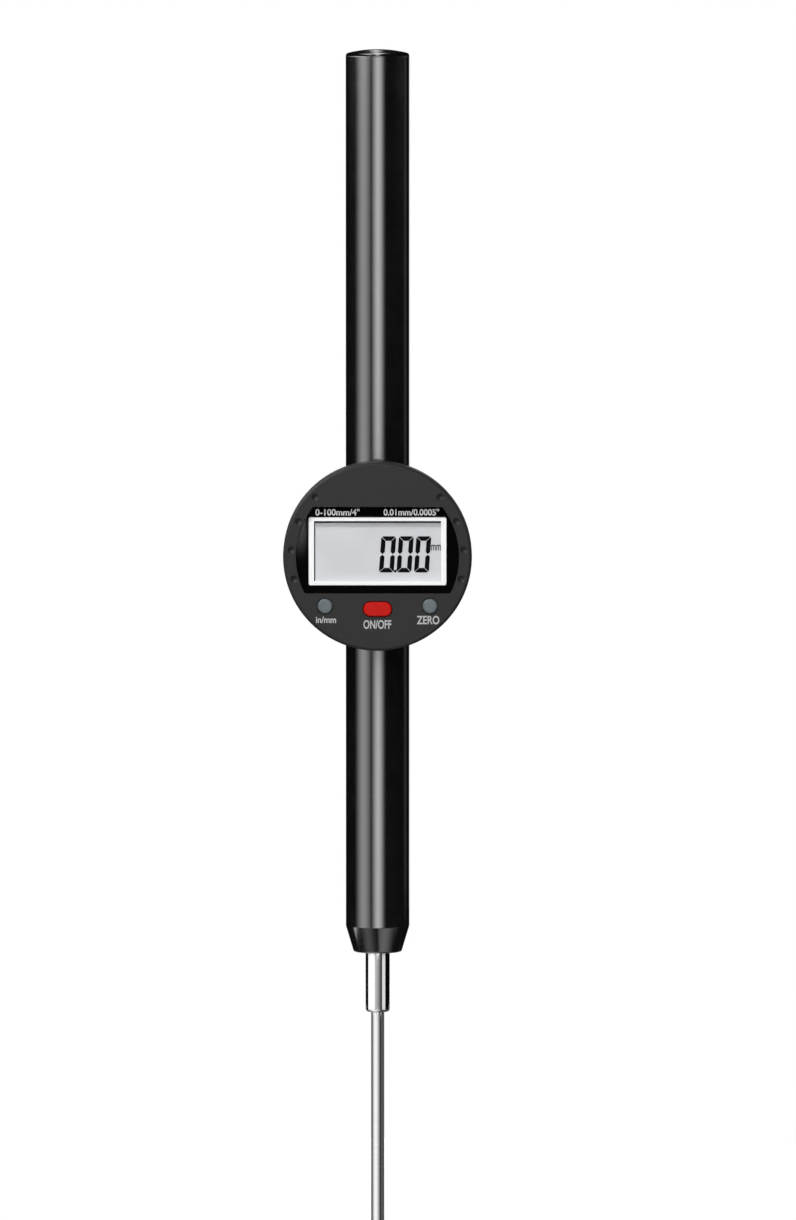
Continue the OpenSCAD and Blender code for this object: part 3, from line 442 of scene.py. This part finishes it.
def soft_edge(width, chosen):
    """Bevels the edges of the active object that a test on their two ends picks."""
    bpy.ops.object.mode_set(mode="EDIT")
    bpy.ops.mesh.select_mode(type="EDGE")
    bpy.ops.mesh.select_all(action="DESELECT")
    bpy.ops.object.mode_set(mode="OBJECT")
    mesh = bpy.context.object.data
    for edge in mesh.edges:
        edge.select = all(chosen(mesh.vertices[v].co / MM) for v in edge.vertices)
    bpy.ops.object.mode_set(mode="EDIT")
    bpy.ops.mesh.bevel(offset=width * MM, segments=EDGE_CUTS, affect="EDGES", clamp_overlap=False)
    bpy.ops.object.mode_set(mode="OBJECT")


def plate(name, outline, back, front, edge=0.0, at=(0, 0), steps=16):
    """A flat plate of an outline between two depths ahead of the tube's axis, with a soft front edge."""
    path = corner_path(outline, steps)
    bpy.ops.object.select_all(action="DESELECT")
    bpy.ops.mesh.primitive_circle_add(vertices=len(path), radius=MM, fill_type="NGON")
    for vertex, point in zip(bpy.context.object.data.vertices, path):
        vertex.co = (point.x * MM, point.y * MM, back * MM)
    bpy.ops.object.mode_set(mode="EDIT")
    bpy.ops.mesh.select_all(action="SELECT")
    bpy.ops.mesh.extrude_region_move(TRANSFORM_OT_translate={"value": (0, 0, (front - back) * MM)})
    bpy.ops.mesh.select_all(action="SELECT")
    bpy.ops.mesh.normals_make_consistent(inside=False)
    bpy.ops.object.mode_set(mode="OBJECT")
    if edge:
        soft_edge(edge, lambda co: co.z > front - NEAR)
    face_forward(at)
    return settled(name)


def panel_outline(radius, top, bottom):
    """Outline of the display panel: a circle cut flat above and below, with rounded corners."""
    points = []
    for side in (1, -1):
        high, low = (top, -bottom) if side > 0 else (-bottom, top)
        start, end = math.asin(low / radius), math.asin(high / radius)
        turns = [start + (end - start) * k / ARC_STEPS for k in range(ARC_STEPS + 1)]
        arc = [(side * radius * math.cos(turn), radius * math.sin(turn)) for turn in turns]
        points += [(*arc[0], WINDOW_CORNER)] + arc[2:-2] + [(*arc[-1], WINDOW_CORNER)]
    return points


def oval_outline(grow=0.0):
    """Outline of the oval button."""
    w, h = OVAL_W / 2 + grow, OVAL_H / 2 + grow
    return [(x, y, h * ROUND_END) for x, y in ((w, -h), (w, h), (-w, h), (-w, -h))]


cover_plastic = finish("grained_cover", (0.0105, 0.01, 0.0102), (0.0175, 0.0169, 0.0171), (0.4, 0.52),
                       (3600, 3600, 3600), 0.006, Specular_IOR_Level=0.22)
cover = turned("moulded_face", [
    (SKIRT_R, SKIRT_D), (HEAD_R, SKIRT_D, SKIRT_EDGE), (HEAD_R, FACE_D, FACE_EDGE), (CENTRE, FACE_D),
    (CENTRE, WALL_D), (WALL_R, WALL_D), (WALL_R, HOUSING_HALF), (SKIRT_R, HOUSING_HALF)],
    segments=256, steps=8, across=(0, 0))
hole_back, hole_front = WALL_D - OVERLAP, FACE_D + OVERLAP
ledge_outline = panel_outline(WINDOW_R - LEDGE_SIDE, WINDOW_TOP - LEDGE_END, WINDOW_BOTTOM - LEDGE_END)
openings = [
    plate("panel_opening", panel_outline(WINDOW_R, WINDOW_TOP, WINDOW_BOTTOM), SEAT_D, hole_front),
    plate("panel_ledge", ledge_outline, hole_back, SEAT_D + OVERLAP / 2),
    plate("oval_hole", oval_outline(BUTTON_GAP), hole_back, hole_front, at=(0, OVAL_Z))]
for side in (-1, 1):
    openings.append(rod_shape("button_hole", BUTTON_R + BUTTON_GAP, hole_back, hole_front,
                              across=(side * BUTTON_X, BUTTON_Z)))
dimple_line = [(CENTRE, FACE_D - DIMPLE_DEPTH), (DIMPLE_FLOOR_R, FACE_D - DIMPLE_DEPTH),
               (2 * DIMPLE_R - DIMPLE_FLOOR_R, FACE_D + DIMPLE_DEPTH), (CENTRE, FACE_D + DIMPLE_DEPTH)]
for side in (-1, 1):
    for i in range(DIMPLES_A_SIDE):
        turn = math.radians(DIMPLE_START + DIMPLE_STEP * i)
        openings.append(turned("dimple", dimple_line, segments=48, across=(
            side * DIMPLE_RING_R * math.cos(turn), DIMPLE_RING_R * math.sin(turn))))
cut_away(cover, *openings)
fitted(cover, cover_plastic, "cover_plastic", "gauge_body", "front_cover")


# DISPLAY PANEL
# A clear acrylic plate let into the face and glued on its ledge. A black print on its back leaves
# a window for the white frame, and carries the range and the resolution in white.
WINDOW_FRONT, MASK_FRONT, WINDOW_GAP, WINDOW_EDGE = 21.6, 20.2, 0.05, 0.12
PRINT, BOLD, LETTER_DEEP = 0.02, 0.02, 0.5
TEXT_LOW, TEXT_HIGH = 13.5, 15.7
PANEL_TEXT = ((-20.4, -5.9, "0-100mm/4\""), (2.0, 20.2, "0.01mm/0.0005\""))
clear_acrylic = bpy.data.materials.new("clear_acrylic")
clear_acrylic.use_nodes = True
nodes, links = clear_acrylic.node_tree.nodes, clear_acrylic.node_tree.links
shader, surface = nodes["Principled BSDF"], nodes["Material Output"]
shader.inputs["Base Color"].default_value = (0.99, 0.995, 0.995, 1)
shader.inputs["Transmission Weight"].default_value = 1
shader.inputs["IOR"].default_value = 1.49
pattern = nodes.new("ShaderNodeGroup")
pattern.node_tree = MARKS
pattern.inputs["Marks per metre"].default_value = (60, 60, 60)
pattern.inputs["Glossy"].default_value, pattern.inputs["Dull"].default_value = 0.015, 0.035
links.new(pattern.outputs["Roughness"], shader.inputs["Roughness"])
light_path, open_way, split = (
    nodes.new("ShaderNode" + kind) for kind in ("LightPath", "BsdfTransparent", "MixShader"))
links.new(light_path.outputs["Is Shadow Ray"], split.inputs["Fac"])
links.new(shader.outputs["BSDF"], split.inputs[1])
links.new(open_way.outputs["BSDF"], split.inputs[2])
links.new(split.outputs["Shader"], surface.inputs["Surface"])
window_outline = panel_outline(WINDOW_R - WINDOW_GAP, WINDOW_TOP - WINDOW_GAP, WINDOW_BOTTOM - WINDOW_GAP)
window = plate("clear_panel", window_outline, MASK_FRONT, WINDOW_FRONT, edge=WINDOW_EDGE)
fitted(window, clear_acrylic, "window_clear", "gauge_body", "display_window")
black_print = finish("black_print", (0.002, 0.002, 0.002), (0.0035, 0.0035, 0.0035), (0.35, 0.45),
                     (1500, 1500, 1500), 0.0005, Specular_IOR_Level=0)
coat(black_print, "window_mask")


def lettering(name, words, left, right, low, high, depth):
    """Printed words, drawn to fill a box on the face, as a thin plate that stands on a given depth."""
    bpy.ops.object.select_all(action="DESELECT")
    bpy.ops.object.text_add()
    text = bpy.context.object
    text.data.body = words
    text.data.extrude = LETTER_DEEP
    text.data.offset = BOLD
    bpy.ops.object.convert(target="MESH")
    shape = bpy.context.object
    corners = [vertex.co.copy() for vertex in shape.data.vertices]
    first = Vector(map(min, zip(*corners)))
    reach = Vector(map(max, zip(*corners))) - first
    for vertex in shape.data.vertices:
        part = vertex.co - first
        x = left + (right - left) * part.x / reach.x
        y = low + (high - low) * part.y / reach.y
        vertex.co = Vector((x, y, depth + PRINT * part.z / reach.z)) * MM
    bpy.ops.object.mode_set(mode="EDIT")
    bpy.ops.mesh.select_all(action="SELECT")
    bpy.ops.mesh.remove_doubles(threshold=AXIS * MM)
    bpy.ops.object.mode_set(mode="OBJECT")
    face_forward((0, 0))
    return settled(name)


white_print = finish("white_print", (0.68, 0.68, 0.68), (0.79, 0.79, 0.79), (0.4, 0.5),
                     (5000, 5000, 5000), 0.001)
for number, (left, right, words) in enumerate(PANEL_TEXT, 1):
    fitted(lettering(f"panel_text_{number}", words, left, right, TEXT_LOW, TEXT_HIGH, MASK_FRONT),
           white_print, "white_plastic", "gauge_body")


# DISPLAY
# A reflective liquid crystal panel behind a white frame. The figures are seven-segment strokes in
# the crystal layer, black on pale grey, with the unit beside them. Thin dark strips along the
# crystal's top and left edges are painted shadow, standing for the shade that the frame casts on it.
LCD_FRONT, LCD_SIDE, LCD_LOW, LCD_HIGH = 18.4, 20.85, -8.15, 11.65
DIGIT_H, DIGIT_W, DIGIT_PITCH, STROKE, STROKE_GAP = 11.9, 4.9, 5.76, 1.5, 0.1
DIGIT_LEAN = math.tan(math.radians(4))
DIGIT_LEFT, DIGIT_LOW = 0.85, -5.35
CORNER_CUT, STROKE_POINT = 0.35, 0.45
DOT_LEFT, DOT_RIGHT = 0.05, 0.85
PAINTED_SHADOW_TOP, PAINTED_SHADOW_LEFT = 0.75, 0.35
UNIT_BOX = 17.6, 20.8, 1.9, 3.8
INK = 0.03
display_glass = finish("display_glass", (0.598, 0.603, 0.624), (0.634, 0.638, 0.66), (0.4, 0.5),
                       (90, 90, 90), 0.0004, Specular_IOR_Level=0.2)
segment_ink = finish("segment_ink", (0.002, 0.002, 0.003), (0.004, 0.004, 0.005), (0.5, 0.6),
                     (2500, 2500, 2500), 0.0004, Specular_IOR_Level=0.1)
unit_ink_and_painted_shadow = finish("unit_ink_and_painted_shadow", (0.03, 0.03, 0.033), (0.05, 0.05, 0.054), (0.5, 0.6),
                  (2500, 2500, 2500), 0.0004, Specular_IOR_Level=0.1)
frame_white = finish("frame_white", (0.93, 0.93, 0.93), (0.98, 0.98, 0.98), (0.4, 0.5),
                     (2500, 2500, 2500), 0.001)
coat(display_glass, "lcd_panel")
coat(frame_white, "lcd_frame")


def segments_of_nought():
    """Outlines of the six strokes of a seven-segment nought, upright, from its lower left corner."""
    w, h, s, g = DIGIT_W, DIGIT_H, STROKE, STROKE_GAP
    cut, tip = s * CORNER_CUT, s * STROKE_POINT
    flat = [(cut, h), (w - cut, h), (w - cut / 2 - g, h - cut / 2), (w - s - g, h - s), (s + g, h - s),
            (cut / 2 + g, h - cut / 2)]
    tall = [(0, h / 2 + tip + g), (s / 2, h / 2 + g), (s, h / 2 + tip + g), (s, h - s - g),
            (cut / 2, h - cut / 2 - g), (0, h - cut)]
    strokes = [flat, [(x, h - y) for x, y in flat]]
    for mirror_x in (False, True):
        for mirror_y in (False, True):
            strokes.append([(w - x if mirror_x else x, h - y if mirror_y else y) for x, y in tall])
    return strokes


def leaning(outline, left):
    """Places a stroke's outline on the display and leans it to the right."""
    return [(left + x + (y - DIGIT_H / 2) * DIGIT_LEAN, DIGIT_LOW + y) for x, y in outline]


for number in range(3):
    for stroke_number, outline in enumerate(segments_of_nought(), 1):
        stroke = plate(f"figure_{number + 1}_stroke_{stroke_number}",
                       leaning(outline, DIGIT_LEFT + number * DIGIT_PITCH), LCD_FRONT, LCD_FRONT + INK)
        fitted(stroke, segment_ink, "black_plastic", "gauge_body")
# Painted shadow: two thin dark strips on the crystal, along its top and left edges, in the unit's grey
# ink, stand for the shade that the white frame casts into the recess.
for name, right, low in (("painted_shadow_top", LCD_SIDE, LCD_HIGH - PAINTED_SHADOW_TOP),
                         ("painted_shadow_left", PAINTED_SHADOW_LEFT - LCD_SIDE, LCD_LOW)):
    outline = [(-LCD_SIDE, low), (right, low), (right, LCD_HIGH), (-LCD_SIDE, LCD_HIGH)]
    fitted(plate(name, outline, LCD_FRONT, LCD_FRONT + INK), unit_ink_and_painted_shadow, "black_plastic", "gauge_body")
dot_outline = [(DOT_LEFT, 0), (DOT_RIGHT, 0), (DOT_RIGHT, DOT_RIGHT), (DOT_LEFT, DOT_RIGHT)]
dot = plate("decimal_point", leaning(dot_outline, DIGIT_LEFT + DIGIT_W), LCD_FRONT, LCD_FRONT + INK)
fitted(dot, segment_ink, "black_plastic", "gauge_body")
fitted(lettering("unit_mm", "mm", *UNIT_BOX, LCD_FRONT), unit_ink_and_painted_shadow, "black_plastic", "gauge_body")


# BUTTONS
# Two round grey buttons and an oval red one, moulded in plastic. Each goes through the face on a
# flange, and its pin presses a switch on the main board.
BUTTON_TOP, CROWN, BUTTON_EDGE, OVAL_EDGE = 22.7, 0.08, 0.6, 0.5
FLANGE_FRONT, FLANGE_BACK, FLANGE_W = 19.1, 18.2, 0.8
PIN_END, PIN_R = 17.5, 1.2
grey_plastic = finish("grey_button", (0.072, 0.087, 0.0955), (0.088, 0.104, 0.1135), (0.3, 0.4),
                      (2500, 2500, 2500), 0.001, Specular_IOR_Level=0.4)
red_plastic = finish("red_button", (0.37, 0.004, 0.002), (0.43, 0.006, 0.003), (0.4, 0.5),
                     (2500, 2500, 2500), 0.002, Specular_IOR_Level=0.12)
for name, side, body, node in (("grey_unit_button", -1, "inch_mm_key", "inch_mm_button"),
                               ("grey_zero_button", 1, "zero_key", "zero_button")):
    button = turned(name, [
        (CENTRE, PIN_END), (PIN_R, PIN_END), (PIN_R, FLANGE_BACK), (BUTTON_R + FLANGE_W, FLANGE_BACK),
        (BUTTON_R + FLANGE_W, FLANGE_FRONT), (BUTTON_R, FLANGE_FRONT),
        (BUTTON_R, BUTTON_TOP - CROWN, BUTTON_EDGE), (BUTTON_R / 2, BUTTON_TOP), (CENTRE, BUTTON_TOP)],
        segments=96, across=(side * BUTTON_X, BUTTON_Z))
    fitted(button, grey_plastic, "button_grey", body, node)
oval_cap = plate("red_oval_cap", oval_outline(), FLANGE_FRONT, BUTTON_TOP, edge=OVAL_EDGE, at=(0, OVAL_Z))
oval_flange = plate("red_oval_flange", oval_outline(FLANGE_W), FLANGE_BACK, FLANGE_FRONT, at=(0, OVAL_Z))
oval_pin = rod_shape("red_oval_pin", PIN_R, PIN_END, FLANGE_BACK, across=(0, OVAL_Z))
bpy.ops.object.select_all(action="DESELECT")
for part in (oval_pin, oval_flange, oval_cap):
    part.select_set(True)
bpy.context.view_layer.objects.active = oval_cap
bpy.ops.object.join()
fitted(settled("red_oval_button"), red_plastic, "button_red", "on_off_key", "on_off_button")


# BUTTON LEGENDS
# The words under the buttons that say what each one does. They are pad-printed on the moulded face
# in a thin coat of pale grey ink. Each row below gives a name, its words and the sides of their box.
LEGENDS = (("legend_unit", "in/mm", -20.2, -13.6, -21.8, -19.6),
           ("legend_power", "ON/OFF", -4.6, 4.55, -23.7, -20.8),
           ("legend_zero", "ZERO", 12.9, 20.3, -22.2, -19.4))
pale_print = finish("pale_print", (0.3, 0.3, 0.3), (0.41, 0.41, 0.41), (0.45, 0.55),
                    (5000, 5000, 5000), 0.001)
for name, words, *box in LEGENDS:
    fitted(lettering(name, words, *box, FACE_D), pale_print, "white_plastic", "gauge_body")


# BACK COVER AND SCREWS
# A moulded disc closes the back of the head, held by four small countersunk screws with cross
# recesses. Its middle opening takes the battery hatch.
BACK_Y, BACK_OUTER_Y, BACK_R = 12.5, 14.7, 28.4
BACK_EDGE, FINE_EDGE = 0.6, 0.1
HATCH_HOLE_R, HATCH_SEAT_Y, HATCH_FLANGE_R, HATCH_GAP = 12.1, 13.7, 14.0, 0.3
SCREW_RING_R, SCREW_TURN, SCREW_GAP = 25.6, 18, 0.15
SCREW_HEAD_R, SCREW_R, SCREW_HEAD_H, SCREW_LEN = 1.9, 0.9, 1.1, 6.7
RECESS_LONG, RECESS_WIDE, RECESS_DEEP = 1.05, 0.22, 0.7
screw_places = [(SCREW_RING_R * math.cos(math.radians(half + side * SCREW_TURN)),
                 SCREW_RING_R * math.sin(math.radians(half + side * SCREW_TURN)))
                for half in (0, 180) for side in (-1, 1)]
back = turned("moulded_back", [
    (HATCH_HOLE_R, -BACK_Y), (HATCH_HOLE_R, -HATCH_SEAT_Y), (HATCH_FLANGE_R + HATCH_GAP, -HATCH_SEAT_Y),
    (HATCH_FLANGE_R + HATCH_GAP, -BACK_OUTER_Y, FINE_EDGE), (BACK_R, -BACK_OUTER_Y, BACK_EDGE),
    (BACK_R, -BACK_Y)], segments=192, across=(0, 0))
cone_grow = (SCREW_HEAD_R - SCREW_R) / SCREW_HEAD_H
cut_away(back, *[turned("countersink", [
    (CENTRE, -BACK_OUTER_Y - OVERLAP),
    (SCREW_HEAD_R + SCREW_GAP + cone_grow * OVERLAP, -BACK_OUTER_Y - OVERLAP),
    (SCREW_R + SCREW_GAP, SCREW_HEAD_H - BACK_OUTER_Y), (SCREW_R + SCREW_GAP, OVERLAP - BACK_Y),
    (CENTRE, OVERLAP - BACK_Y)], segments=64, across=at) for at in screw_places])
fitted(back, cover_plastic, "cover_plastic", "gauge_body", "back_cover")
screws = []
for at in screw_places:
    screw = turned("countersunk_screw", [
        (CENTRE, -BACK_OUTER_Y), (SCREW_HEAD_R, -BACK_OUTER_Y, FINE_EDGE),
        (SCREW_R, SCREW_HEAD_H - BACK_OUTER_Y), (SCREW_R, SCREW_LEN - HOUSING_HALF),
        (CENTRE, SCREW_LEN - HOUSING_HALF)], segments=48, across=at)
    recess = [plate("recess", [(w, -h), (w, h), (-w, h), (-w, -h)], -BACK_OUTER_Y - OVERLAP,
                    RECESS_DEEP - BACK_OUTER_Y, at=at)
              for w, h in ((RECESS_LONG, RECESS_WIDE), (RECESS_WIDE, RECESS_LONG))]
    screws.append(cut_away(screw, *recess))
bpy.ops.object.select_all(action="DESELECT")
for screw in screws:
    screw.select_set(True)
bpy.context.view_layer.objects.active = screws[0]
bpy.ops.object.join()
screw_steel = finish("screw_steel", (0.4, 0.4, 0.41), (0.5, 0.5, 0.51), (0.3, 0.4),
                     (3000, 3000, 3000), 0.001, Metallic=1)
fitted(settled("back_cover_screws"), screw_steel, "steel", "gauge_body", "back_screws")


# BATTERY HATCH
# A moulded round lid over the coin cell, flush with the back. It turns with a coin in its slot,
# and two lugs lock it under the back cover.
HATCH_FLANGE_Y, HATCH_INNER_Y, HATCH_EDGE = 13.75, 11.1, 0.25
NECK_R, NECK_BORE_R, LID_INNER_Y = 12.0, 11.2, 12.0
SEAL_GROOVE_R, SEAL_OUTER_Y, SEAL_INNER_Y = 11.15, 13.57, 12.65
SLOT_LONG, SLOT_WIDE, SLOT_ROUND, SLOT_DEEP = 7.0, 0.8, 0.79, 1.2
LUG_OUTER_R, LUG_INNER_R, LUG_Y, LUG_HALF, LUG_STEP = 13.6, 11.6, 12.2, 20, 5
hatch = turned("hatch_lid", [
    (CENTRE, -BACK_OUTER_Y), (HATCH_FLANGE_R, -BACK_OUTER_Y, HATCH_EDGE),
    (HATCH_FLANGE_R, -HATCH_FLANGE_Y), (NECK_R, -HATCH_FLANGE_Y), (NECK_R, -SEAL_OUTER_Y),
    (SEAL_GROOVE_R, -SEAL_OUTER_Y), (SEAL_GROOVE_R, -SEAL_INNER_Y), (NECK_R, -SEAL_INNER_Y),
    (NECK_R, -HATCH_INNER_Y), (NECK_BORE_R, -HATCH_INNER_Y), (NECK_BORE_R, -LID_INNER_Y),
    (CENTRE, -LID_INNER_Y)], segments=192, across=(0, 0))
slot_outline = [(x, z, SLOT_ROUND) for x, z in (
    (SLOT_LONG, -SLOT_WIDE), (SLOT_LONG, SLOT_WIDE), (-SLOT_LONG, SLOT_WIDE), (-SLOT_LONG, -SLOT_WIDE))]
cut_away(hatch, plate("coin_slot", slot_outline, -BACK_OUTER_Y - OVERLAP, SLOT_DEEP - BACK_OUTER_Y))
lugs = []
for middle in (0, 180):
    arc = [math.radians(middle + turn) for turn in range(-LUG_HALF, LUG_HALF + 1, LUG_STEP)]
    outline = [(LUG_OUTER_R * math.cos(turn), LUG_OUTER_R * math.sin(turn)) for turn in arc]
    outline += [(LUG_INNER_R * math.cos(turn), LUG_INNER_R * math.sin(turn)) for turn in reversed(arc)]
    lugs.append(plate("lug", outline, -LUG_Y, -HATCH_INNER_Y))
bpy.ops.object.select_all(action="DESELECT")
for part in (*lugs, hatch):
    part.select_set(True)
bpy.context.view_layer.objects.active = hatch
bpy.ops.object.join()
fitted(settled("battery_lid"), cover_plastic, "cover_plastic", "hatch", "battery_hatch")


# STUDIO
# A pale round floor under the tip in a white room, with five soft lamps round the head. Glowing cards
# that only gloss can see draw the bright bands on the tubes, the stem and the spindle, and a black
# drum and disc, seen in the same way, keep the lacquer dark between them.
FLOOR_Z, FLOOR_R, FLOOR_GLOW = -0.1203, 0.6, 0.13
ROOM_LIGHT = 0.1


def ray_white(tree):
    """A value that is 1 for rays that look at the background, straight or in metal and glass."""
    path = tree.nodes.new("ShaderNodeLightPath")
    total = path.outputs["Is Camera Ray"]
    for kind in ("Is Glossy Ray", "Is Transmission Ray"):
        add = tree.nodes.new("ShaderNodeMath")
        add.operation = "MAXIMUM"
        tree.links.new(total, add.inputs[0])
        tree.links.new(path.outputs[kind], add.inputs[1])
        total = add.outputs[0]
    return total


world = bpy.data.worlds.new("white_room")
bpy.context.scene.world = world
world.use_nodes = True
tree = world.node_tree
strength = tree.nodes.new("ShaderNodeMapRange")
strength.inputs["To Min"].default_value, strength.inputs["To Max"].default_value = ROOM_LIGHT, 1.0
tree.links.new(ray_white(tree), strength.inputs["Value"])
tree.links.new(strength.outputs["Result"], tree.nodes["Background"].inputs["Strength"])
tree.nodes["Background"].inputs["Color"].default_value = (1, 1, 1, 1)

bpy.ops.object.select_all(action="DESELECT")
bpy.ops.mesh.primitive_circle_add(vertices=96, radius=FLOOR_R, fill_type="NGON", location=(0, 0, FLOOR_Z))
floor = settled("pale_floor")
paper = bpy.data.materials.new("pale_paper")
paper.use_nodes = True
tree = paper.node_tree
shader = tree.nodes["Principled BSDF"]
shader.inputs["Base Color"].default_value = (0.7, 0.7, 0.7, 1)
shader.inputs["Roughness"].default_value = 0.9
shader.inputs["Specular IOR Level"].default_value = 0.1
shader.inputs["Emission Color"].default_value = (1, 1, 1, 1)
glow = tree.nodes.new("ShaderNodeMath")
glow.operation = "MULTIPLY"
glow.inputs[0].default_value = FLOOR_GLOW
tree.links.new(ray_white(tree), glow.inputs[1])
tree.links.new(glow.outputs["Value"], shader.inputs["Emission Strength"])
floor.data.materials.append(paper)


def studio_card(name, azimuth, distance, half_turn, low, high, power, soft="X", flat=None):
    """A glowing card bent round the gauge, or laid flat at a height, that fades to its edges one way."""
    turn, half = math.radians(azimuth), math.radians(half_turn)
    away = Vector((math.sin(turn), -math.cos(turn), 0))
    across = Vector((math.cos(turn), math.sin(turn), 0))
    bpy.ops.object.select_all(action="DESELECT")
    bpy.ops.mesh.primitive_grid_add(x_subdivisions=24, y_subdivisions=1, size=2)
    card = bpy.context.object
    card.name = card.data.name = name
    for vertex in card.data.vertices:
        side, reach = vertex.co.x * half, (low + high + vertex.co.y * (high - low)) / 2
        if flat is None:
            vertex.co = (away * math.cos(side) + across * math.sin(side)) * distance
            vertex.co.z = reach
        else:
            vertex.co = away * reach + across * distance * math.tan(half) * vertex.co.x
            vertex.co.z = flat
    material = bpy.data.materials.new(name)
    material.use_nodes = True
    tree = material.node_tree
    tree.nodes.remove(tree.nodes["Principled BSDF"])
    glow = tree.nodes.new("ShaderNodeEmission")
    tree.links.new(glow.outputs["Emission"], tree.nodes["Material Output"].inputs["Surface"])
    glow.inputs["Strength"].default_value = power
    if soft:
        place, apart, inward, fade = (tree.nodes.new("ShaderNode" + kind) for kind in (
            "TexCoord", "SeparateXYZ", "Math", "MapRange"))
        inward.operation = "PINGPONG"
        inward.inputs[1].default_value = 0.5
        fade.interpolation_type = "SMOOTHSTEP"
        for socket, value in (("From Min", 0), ("From Max", 0.5), ("To Min", 0), ("To Max", power)):
            fade.inputs[socket].default_value = value
        tree.links.new(place.outputs["UV"], apart.inputs["Vector"])
        tree.links.new(apart.outputs[soft], inward.inputs[0])
        tree.links.new(inward.outputs["Value"], fade.inputs["Value"])
        tree.links.new(fade.outputs["Result"], glow.inputs["Strength"])
    card.data.materials.append(material)
    card.visible_camera = card.visible_shadow = card.visible_diffuse = card.visible_transmission = False


studio_card("front_box_high", 1.8, 0.42, 27, 0.140, 0.45, 2.7)
studio_card("front_box_low", 1.8, 0.42, 27, -0.070, 0.084, 2.7)
studio_card("left_box", -52, 0.5, 38, -0.080, 0.45, 1.5)
studio_card("panel_card", -7, 0.4, 3.2, 0.1155, 0.1435, 1.7, soft="Y")
studio_card("rear_card_right", 120, 0.6, 14, -0.03, 0.34, 0.1)
studio_card("rear_card_edge", 160, 0.6, 9, -0.03, 0.34, 0.2)
studio_card("top_card_front", 0, 1.0, 10, -1.4, 1.2, 3.0, flat=1.3)
studio_card("top_card_left", -90, 1.0, 42, 0.2, 0.5, 2.4, flat=1.3)
studio_card("back_card", 180, 0.62, 15, -0.11, 0.3, 1.6)
studio_card("side_card_right", 98, 0.5, 40, 0.3, 0.85, 1.4, flat=0.33)
studio_card("side_card_left", -104, 0.5, 40, 0.3, 0.85, 1.4, flat=0.33)
studio_card("glint_card", -60, 0.36, 36, 0.12, 0.6, 7, flat=0.325)
studio_card("dome_card", 180.4, 1.4, 1.3, 0.62, 1.25, 1.0)
studio_card("stem_card_left", -62, 0.070, 36, -0.0172, 0.0031, 1.75, soft=None)
studio_card("stem_card_middle", -30, 0.072, 76, -0.0174, 0.0029, 0.9)
studio_card("stem_card_right", 59, 0.070, 17, -0.0172, 0.0031, 1.2, soft=None)
studio_card("stem_card_back", 180, 0.074, 32, -0.05, -0.008, 1.0)
studio_card("stem_card_behind", 180, 0.076, 66, -0.05, -0.0155, 1.0)
studio_card("spindle_card_left", -34, 0.030, 88, FLOOR_Z, -0.0136, 1.5)
studio_card("spindle_card_right", 105, 0.032, 58, FLOOR_Z, -0.0138, 0.13, soft=None)
studio_card("spindle_card_back", 180, 0.034, 66, FLOOR_Z, -0.0136, 1.0)
studio_card("nose_card_right", 28, 0.17, 46, 0.05, 0.3, 0.7, flat=FLOOR_Z + 0.002)
studio_card("nose_card_left", -42, 0.17, 36, 0.05, 0.3, 0.35, flat=FLOOR_Z + 0.003)


black_cloth = bpy.data.materials.new("dark_flag")
black_cloth.use_nodes = True
shader = black_cloth.node_tree.nodes["Principled BSDF"]
shader.inputs["Base Color"].default_value = (0.004, 0.004, 0.004, 1)
shader.inputs["Specular IOR Level"].default_value = 0


def dark_flag(name, radius, low, high):
    """A closed black drum or disc that only gloss can see."""
    bpy.ops.object.select_all(action="DESELECT")
    bpy.ops.mesh.primitive_cylinder_add(
        vertices=64, radius=radius, depth=high - low, location=(0, 0, (low + high) / 2))
    drum = settled(name)
    drum.data.materials.append(black_cloth)
    drum.visible_camera = drum.visible_diffuse = drum.visible_shadow = drum.visible_transmission = False
    return drum


dark_flag("dark_drum", 1.5, -0.9, 2.1).visible_transmission = True
dark_flag("dark_floor", FLOOR_R, FLOOR_Z + 0.0005, FLOOR_Z + 0.001)


def soft_lamp(name, azimuth, elevation, distance, size, power):
    """A square soft lamp aimed at the head."""
    data = bpy.data.lights.new(name, "AREA")
    data.shape, data.size, data.energy = "SQUARE", size, power
    lamp = bpy.data.objects.new(name, data)
    bpy.context.scene.collection.objects.link(lamp)
    turn, rise = math.radians(azimuth), math.radians(elevation)
    aim = Vector((math.sin(turn) * math.cos(rise), -math.cos(turn) * math.cos(rise), math.sin(rise)))
    lamp.location = Vector((0, 0, HEAD_Z * MM)) + aim * distance
    lamp.rotation_euler = aim.to_track_quat("Z", "Y").to_euler()
    lamp.visible_camera = lamp.visible_glossy = lamp.visible_transmission = False


soft_lamp("key_lamp", -20, 50, 1.2, 0.3, 11)
soft_lamp("fill_lamp", 5, 10, 1.5, 1.0, 12.1)
soft_lamp("back_lamp", 170, 12, 1.4, 0.6, 18)
soft_lamp("right_lamp", 105, 12, 1.4, 0.6, 9)
soft_lamp("left_lamp", -110, 12, 1.4, 0.6, 9)


# CAMERA
# A long lens four metres off and four degrees above the level, framed as the photograph is, with
# the lower end of the spindle past the picture's edge.
CAMERA_FAR, CAMERA_RISE, FRAME_H, SENSOR, SIGHT = 4.0, 4.0, 0.4026, 36, 50
AIM = Vector((0.00673, 0, 0.12317))
lens = bpy.data.cameras.new("camera")
lens.sensor_width = SENSOR
lens.lens = SENSOR * CAMERA_FAR / FRAME_H
lens.clip_end = SIGHT
camera = bpy.data.objects.new("camera", lens)
bpy.context.scene.collection.objects.link(camera)
rise = math.radians(CAMERA_RISE)
camera.location = AIM + Vector((0, -math.cos(rise), math.sin(rise))) * CAMERA_FAR
camera.rotation_euler = (math.pi / 2 - rise, 0, 0)
bpy.context.scene.camera = camera
bpy.context.scene.view_settings.view_transform = "Standard"
